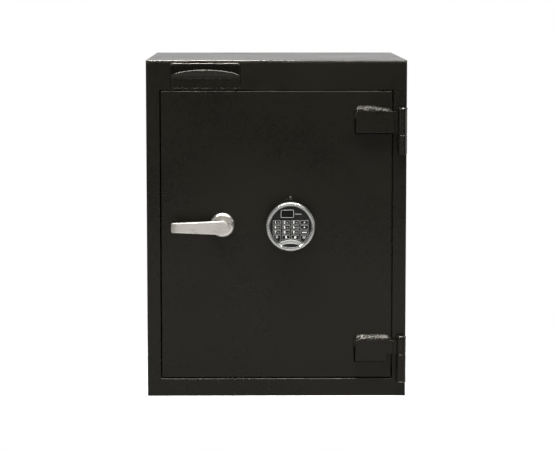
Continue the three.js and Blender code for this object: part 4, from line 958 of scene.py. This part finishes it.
def rounded(x0, x1, z0, z1, radius):
    """A rectangle with round corners as a loop of (x, z)."""
    corners = ((x1 - radius, z1 - radius, 0), (x0 + radius, z1 - radius, 90),
               (x0 + radius, z0 + radius, 180), (x1 - radius, z0 + radius, 270))
    return [(x + radius * cos(radians(angle)), z + radius * sin(radians(angle)))
            for x, z, start in corners for angle in spread(start, start + 90, 4)]


work = bmesh.new()
frame_loop = rounded(*(KEYPAD.x + x for x in FRAME_X), *(KEYPAD.z + z for z in FRAME_Z), FRAME_CORNER)
printed(work, frame_loop, FRAME_INSET, FRAME_WIDTH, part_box("display_window")[0].y + FRAME_SUNK, FRAME_THICK)
bar(work, *(KEYPAD.x + x for x in STROKE_X), *(KEYPAD.z + z for z in STROKE_Z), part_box("keypad_face")[0].y)
ink_piece("display_markings", work, ink_light, "door")

# The lens-shaped cap at the keypad's foot, with a crown
LENS_HALF, LENS_CROWN = 0.0236, 0.0017
LENS_ACROSS, LENS_UP = 56, 12
LENS_OUTER, LENS_INNER, LENS_INNER_DROP = 0.0402, 0.041, 0.0655
CAP_Y = KEYPAD.y + 0.002 + 0.0002


def lens_column(x):
    """Points from the cap's lower edge to its upper edge at x."""
    low = -sqrt(max(LENS_OUTER ** 2 - x * x, 0))
    high = -LENS_INNER_DROP + sqrt(max(LENS_INNER ** 2 - x * x, 0))
    column = []
    for v in spread(0.0, 1.0, LENS_UP):
        rise = max(0.0, 1 - (2 * v - 1) ** 2) ** 0.55 * min(1.0, (high - low) / 0.012) * LENS_CROWN
        column.append((KEYPAD.x + x, CAP_Y - rise, KEYPAD.z + low + (high - low) * v))
    return column


columns = [lens_column(x) for x in spread(-LENS_HALF, LENS_HALF, LENS_ACROSS)]
shape = Shape().loft(columns, closed=False)
piece("lens_cap", shape, satin_silver, "door")

# The bare badge on the cap, as ellipses of (half width, half height, depth behind the rim's front)
BADGE_Y, BADGE_Z = KEYPAD.y + 0.0001, KEYPAD.z - 0.0362
BADGE_RIM = [(0.0166, 0.0049, 0.002), (0.0166, 0.0049, 0.0004), (0.0162, 0.0045, 0.0), (0.0156, 0.0039, 0.0),
             (0.0153, 0.0036, 0.0006)]
BADGE_PLATE = [(0.0153, 0.0036, 0.0005), (0.0148, 0.0031, 0.0002), (0.009, 0.0018, 0.0001),
               (0.002, 0.0004, 0.0)]


def badge(ellipses):
    return Shape().loft([[(KEYPAD.x + rx * cos(t), BADGE_Y + depth, BADGE_Z + rz * sin(t))
                          for t in around(48)] for rx, rz, depth in ellipses])


piece("badge_rim", badge(BADGE_RIM), satin_silver, "door")
piece("badge_plate", badge(BADGE_PLATE), black_plastic, "door")

# Fasteners of the works behind the door, as rows of (size, rise, hexagonal or not)
BUTTON_HEAD = [(1.0, -0.05, 0), (1.0, 0.3, 0), (0.93, 0.62, 0), (0.76, 0.88, 0), (0.55, 1.0, 0),
               (0.46, 1.0, 1), (0.46, 0.35, 1), (0.02, 0.25, 0)]
HEXAGON_HEAD = [(1.5, -0.05, 0), (1.5, 0.16, 0), (1.42, 0.24, 0), (1.1, 0.24, 1), (1.1, 0.9, 1),
                (0.98, 1.0, 0), (0.02, 1.0, 0)]
CLIP_INSET = 0.0035

# Their sizes, as (radius, height)
LOCK_SCREW, PLATE_SCREW, DRIVE_SCREW = (0.0032, 0.0024), (0.0034, 0.0028), (0.0028, 0.0022)
CAM_SCREW, CLIP = (0.0042, 0.0045), (0.0034, 0.0012)


def hexagon(angle):
    return cos(pi / 6) / cos(angle % (pi / 3) - pi / 6)


def fastener_rings(place, outward, radius, height, rows):
    """Rings of a fastener's head at a place on a face."""
    outward = Vector(outward)
    side = outward.orthogonal().normalized()
    other = outward.cross(side)
    rings = []
    for size, rise, six in rows:
        centre = Vector(place) + outward * height * rise
        ring = []
        for angle in around(24):
            r = radius * size * (hexagon(angle) if six else 1.0)
            ring.append(centre + (side * cos(angle) + other * sin(angle)) * r)
        rings.append(ring)
    return rings


def fasteners(name, places, outward, size, body, rows=BUTTON_HEAD):
    shape = Shape()
    for place in places:
        shape.loft(fastener_rings(place, outward, *size, rows))
    piece(name, shape, bright, body, smooth=False)


def corner_places(node, left, right, ends):
    """Places on the back of a node near its corners, at distances from its sides and its ends."""
    low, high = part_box(node)
    return [(x, high.y, z) for x in (low.x + left, high.x - right) for z in (low.z + ends, high.z - ends)]


places = corner_places("lock_body", left=0.006, right=0.007, ends=0.007)
fasteners("lock_screws", places, BACK, LOCK_SCREW, "door")
places = corner_places("hard_plate", left=0.008, right=0.008, ends=0.008)
fasteners("hard_plate_screws", places, BACK, PLATE_SCREW, "door")
low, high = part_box("drive_plate")
places = [(low.x + 0.003, high.y, z) for z in (low.z + 0.015, high.z - 0.006)]
fasteners("drive_plate_screws", places, BACK, DRIVE_SCREW, "boltwork")
low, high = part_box("handle_spindle")
places = [((low.x + high.x) / 2, high.y, (low.z + high.z) / 2)]
fasteners("cam_screw", places, BACK, CAM_SCREW, "handle", HEXAGON_HEAD)
low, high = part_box("deposit_flap")
for name, x, outward in (("flap_clips", high.x, RIGHT), ("flap_clips_left", low.x, LEFT)):
    places = [(x, low.y + CLIP_INSET, high.z - CLIP_INSET)]
    fasteners(name, places, outward, CLIP, "flap")

# Retaining rings on both sides of the bolt bar
BOLT_RING_IN, BOLT_RING_OUT, BOLT_RING_THICK = 0.0002, 0.0025, 0.0011
BAR_LOW, BAR_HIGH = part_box("bolt_bar")


def bolt_ring(low, high, x, side):
    """Rings of a retaining ring on a bolt, at one side of the bar."""
    y, z = (low.y + high.y) / 2, (low.z + high.z) / 2
    radius = (high.z - low.z) / 2
    inner, outer = radius - BOLT_RING_IN, radius + BOLT_RING_OUT
    return [[(x + side * dx, y + r * cos(a), z + r * sin(a)) for a in around(40)]
            for r, dx in ((inner, 0.0), (outer, 0.0), (outer, BOLT_RING_THICK), (inner, BOLT_RING_THICK))]


shape = Shape()
for bolt in ("lower", "middle", "upper"):
    for x, side in ((BAR_LOW.x, -1), (BAR_HIGH.x, 1)):
        shape.loft(bolt_ring(*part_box(f"bolt_{bolt}"), x, side))
piece("bolt_rings", shape, zinc, "boltwork", smooth=False)

# Stitch welds behind the door
DOOR_STITCH, DOOR_BEAD = 0.025, (0.0035, 0.0035)
DOOR_STITCH_IN = 0.02
runs = []
for node, sides in (("bolt_guide_outer", (-1,)), ("bolt_guide_inner", (1,)), ("dead_bar", (-1, 1))):
    low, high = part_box(node)
    free = high.z - low.z - 2 * DOOR_STITCH_IN - DOOR_STITCH
    for k in range(5):
        z = low.z + DOOR_STITCH_IN + free * k / 4
        for side in sides:
            x = low.x if side < 0 else high.x
            ends = ((x, DOOR_HIGH.y, z), (x, DOOR_HIGH.y, z + DOOR_STITCH))
            runs.append((*ends, BACK, (side, 0, 0), *DOOR_BEAD))
weld("door_stitch_welds", runs, "door", 0.0045, 0.08)

# Stitch welds inside the cabinet
STITCH, BEAD = 0.03, (0.004, 0.004)
STITCHES_UP = [0.03 + 0.135 * k for k in range(5)]
STITCHES_BACK = [-0.21 + 0.125 * k for k in range(4)]
STITCHES_ACROSS = [-0.19 + 0.115 * k for k in range(4)]
SIDE_LOW, SIDE_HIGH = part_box("left_side_plate")
INNER_X = PLATE_HIGH.x - (SIDE_HIGH.x - SIDE_LOW.x)
INNER_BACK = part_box("back_plate")[0].y
FLOOR_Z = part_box("base_plate")[1].z
runs = []
for side in (-1, 1):
    x = side * INNER_X
    inward = (-side, 0, 0)
    for z in STITCHES_UP:
        runs.append(((x, INNER_BACK, z), (x, INNER_BACK, z + STITCH), FORWARD, inward, *BEAD))
    for y in STITCHES_BACK:
        for z, off in ((FLOOR_Z, UP), (PLATE_LOW.z, DOWN)):
            runs.append(((x, y, z), (x, y + STITCH, z), off, inward, *BEAD))
for x in STITCHES_ACROSS:
    runs.append(((x, INNER_BACK, FLOOR_Z), (x + STITCH, INNER_BACK, FLOOR_Z), FORWARD, UP, *BEAD))
weld("cabinet_stitch_welds", runs, "cabinet", 0.005, 0.08)

# The world: white for the camera and behind the object, and else a room with bands of (depth, brightness)
ROOM_BANDS = [(0.0, 0.48), (0.03, 0.55), (0.1, 0.65), (0.2, 0.45), (0.3, 0.16), (0.52, 0.2), (0.72, 0.95)]
ROOM_BLUE = 0.985


def studio():
    """The world with both faces."""
    world = bpy.data.worlds.new("studio")
    world.use_nodes = True
    g = Graph(world.node_tree)
    g.nodes.clear()
    direction = g.split(g.nodes.new("ShaderNodeTexCoord").outputs["Generated"])
    depth = g.math("MULTIPLY_ADD", direction["Y"], 0.5, 0.5)
    bands = g.ramp(depth, [(at, (value, value, value * ROOM_BLUE)) for at, value in ROOM_BANDS])
    aside = g.span(g.math("ABSOLUTE", direction["X"]), 1.0, 0.25, 0.12, 0.5, smooth=True)
    room = g.add("ShaderNodeBackground", Color=bands, Strength=aside).outputs["Background"]
    white = g.add("ShaderNodeBackground", Color=(1, 1, 1, 1), Strength=1.0).outputs["Background"]
    backdrop = g.span(depth, 0.0, 1.0, 0.5, 0.75, smooth=True)
    g.add("ShaderNodeOutputWorld", Surface=g.blend(g.white_behind(backdrop), room, white))
    return world


scene.world = studio()


# Lamps
def lamp(name, place, target, size, power):
    data = bpy.data.lights.new(name, "AREA")
    data.shape = "RECTANGLE"
    data.size, data.size_y = size
    data.energy = power
    item = linked(name, data)
    item.location = place
    item.rotation_euler = (Vector(target) - Vector(place)).to_track_quat("-Z", "Y").to_euler()


lamp("lamp_left", (-3.1, -1.85, 1.3), (0, 0, 0.35), (0.8, 1.8), 18)
lamp("lamp_right", (3.35, -0.7, 1.1), (0, 0, 0.35), (1.4, 1.8), 26)
lamp("lamp_strip", (0.0, -0.75, 2.3), (0, -0.25, 0.4), (2.2, 0.45), 260)

# The floor: the camera sees it pale under the object and white further off, and most other rays see it dim
FLOOR_HALF, FLOOR_DROP = 9.0, 0.0004


def floor_pale():
    s = Shader("floor_pale", Base_Color=(0.9, 0.9, 0.9, 1), Roughness=0.9, Specular_IOR_Level=0.0)
    spot = s.split(s.place)
    before = s.span(spot["Y"], 0.6, 0.25, -2.0, -0.6, smooth=True)
    aside = s.span(s.math("ABSOLUTE", spot["X"]), 1.0, 0.12, 0.6, 1.6, smooth=True)
    dim = s.add("ShaderNodeBsdfDiffuse", Color=s.math("MULTIPLY", before, aside)).outputs["BSDF"]
    camera_ray = s.nodes.new("ShaderNodeLightPath").outputs["Is Camera Ray"]
    ground = s.blend(camera_ray, dim, s.bsdf.outputs["BSDF"])
    glow = s.add("ShaderNodeEmission", Strength=1.0).outputs["Emission"]
    far = s.span(s.vector_math("LENGTH", s.place), 0.5, 1.0, 0.3, 0.75, smooth=True)
    rear = s.span(spot["Y"], 0.0, 1.0, -0.6, 0.3, smooth=True)
    surface = s.blend(s.math("MULTIPLY", far, s.white_behind(rear)), ground, glow)
    s.links.new(surface, s.nodes["Material Output"].inputs["Surface"])
    return s.material


corners = [(x * FLOOR_HALF, y * FLOOR_HALF, 0) for x, y in ((-1, -1), (1, -1), (1, 1), (-1, 1))]
floor_mesh = bpy.data.meshes.new("floor")
floor_mesh.from_pydata(corners, [], [(0, 1, 2, 3)])
floor_mesh.materials.append(floor_pale())
floor = linked("floor", floor_mesh)
floor.location.z = -FLOOR_DROP
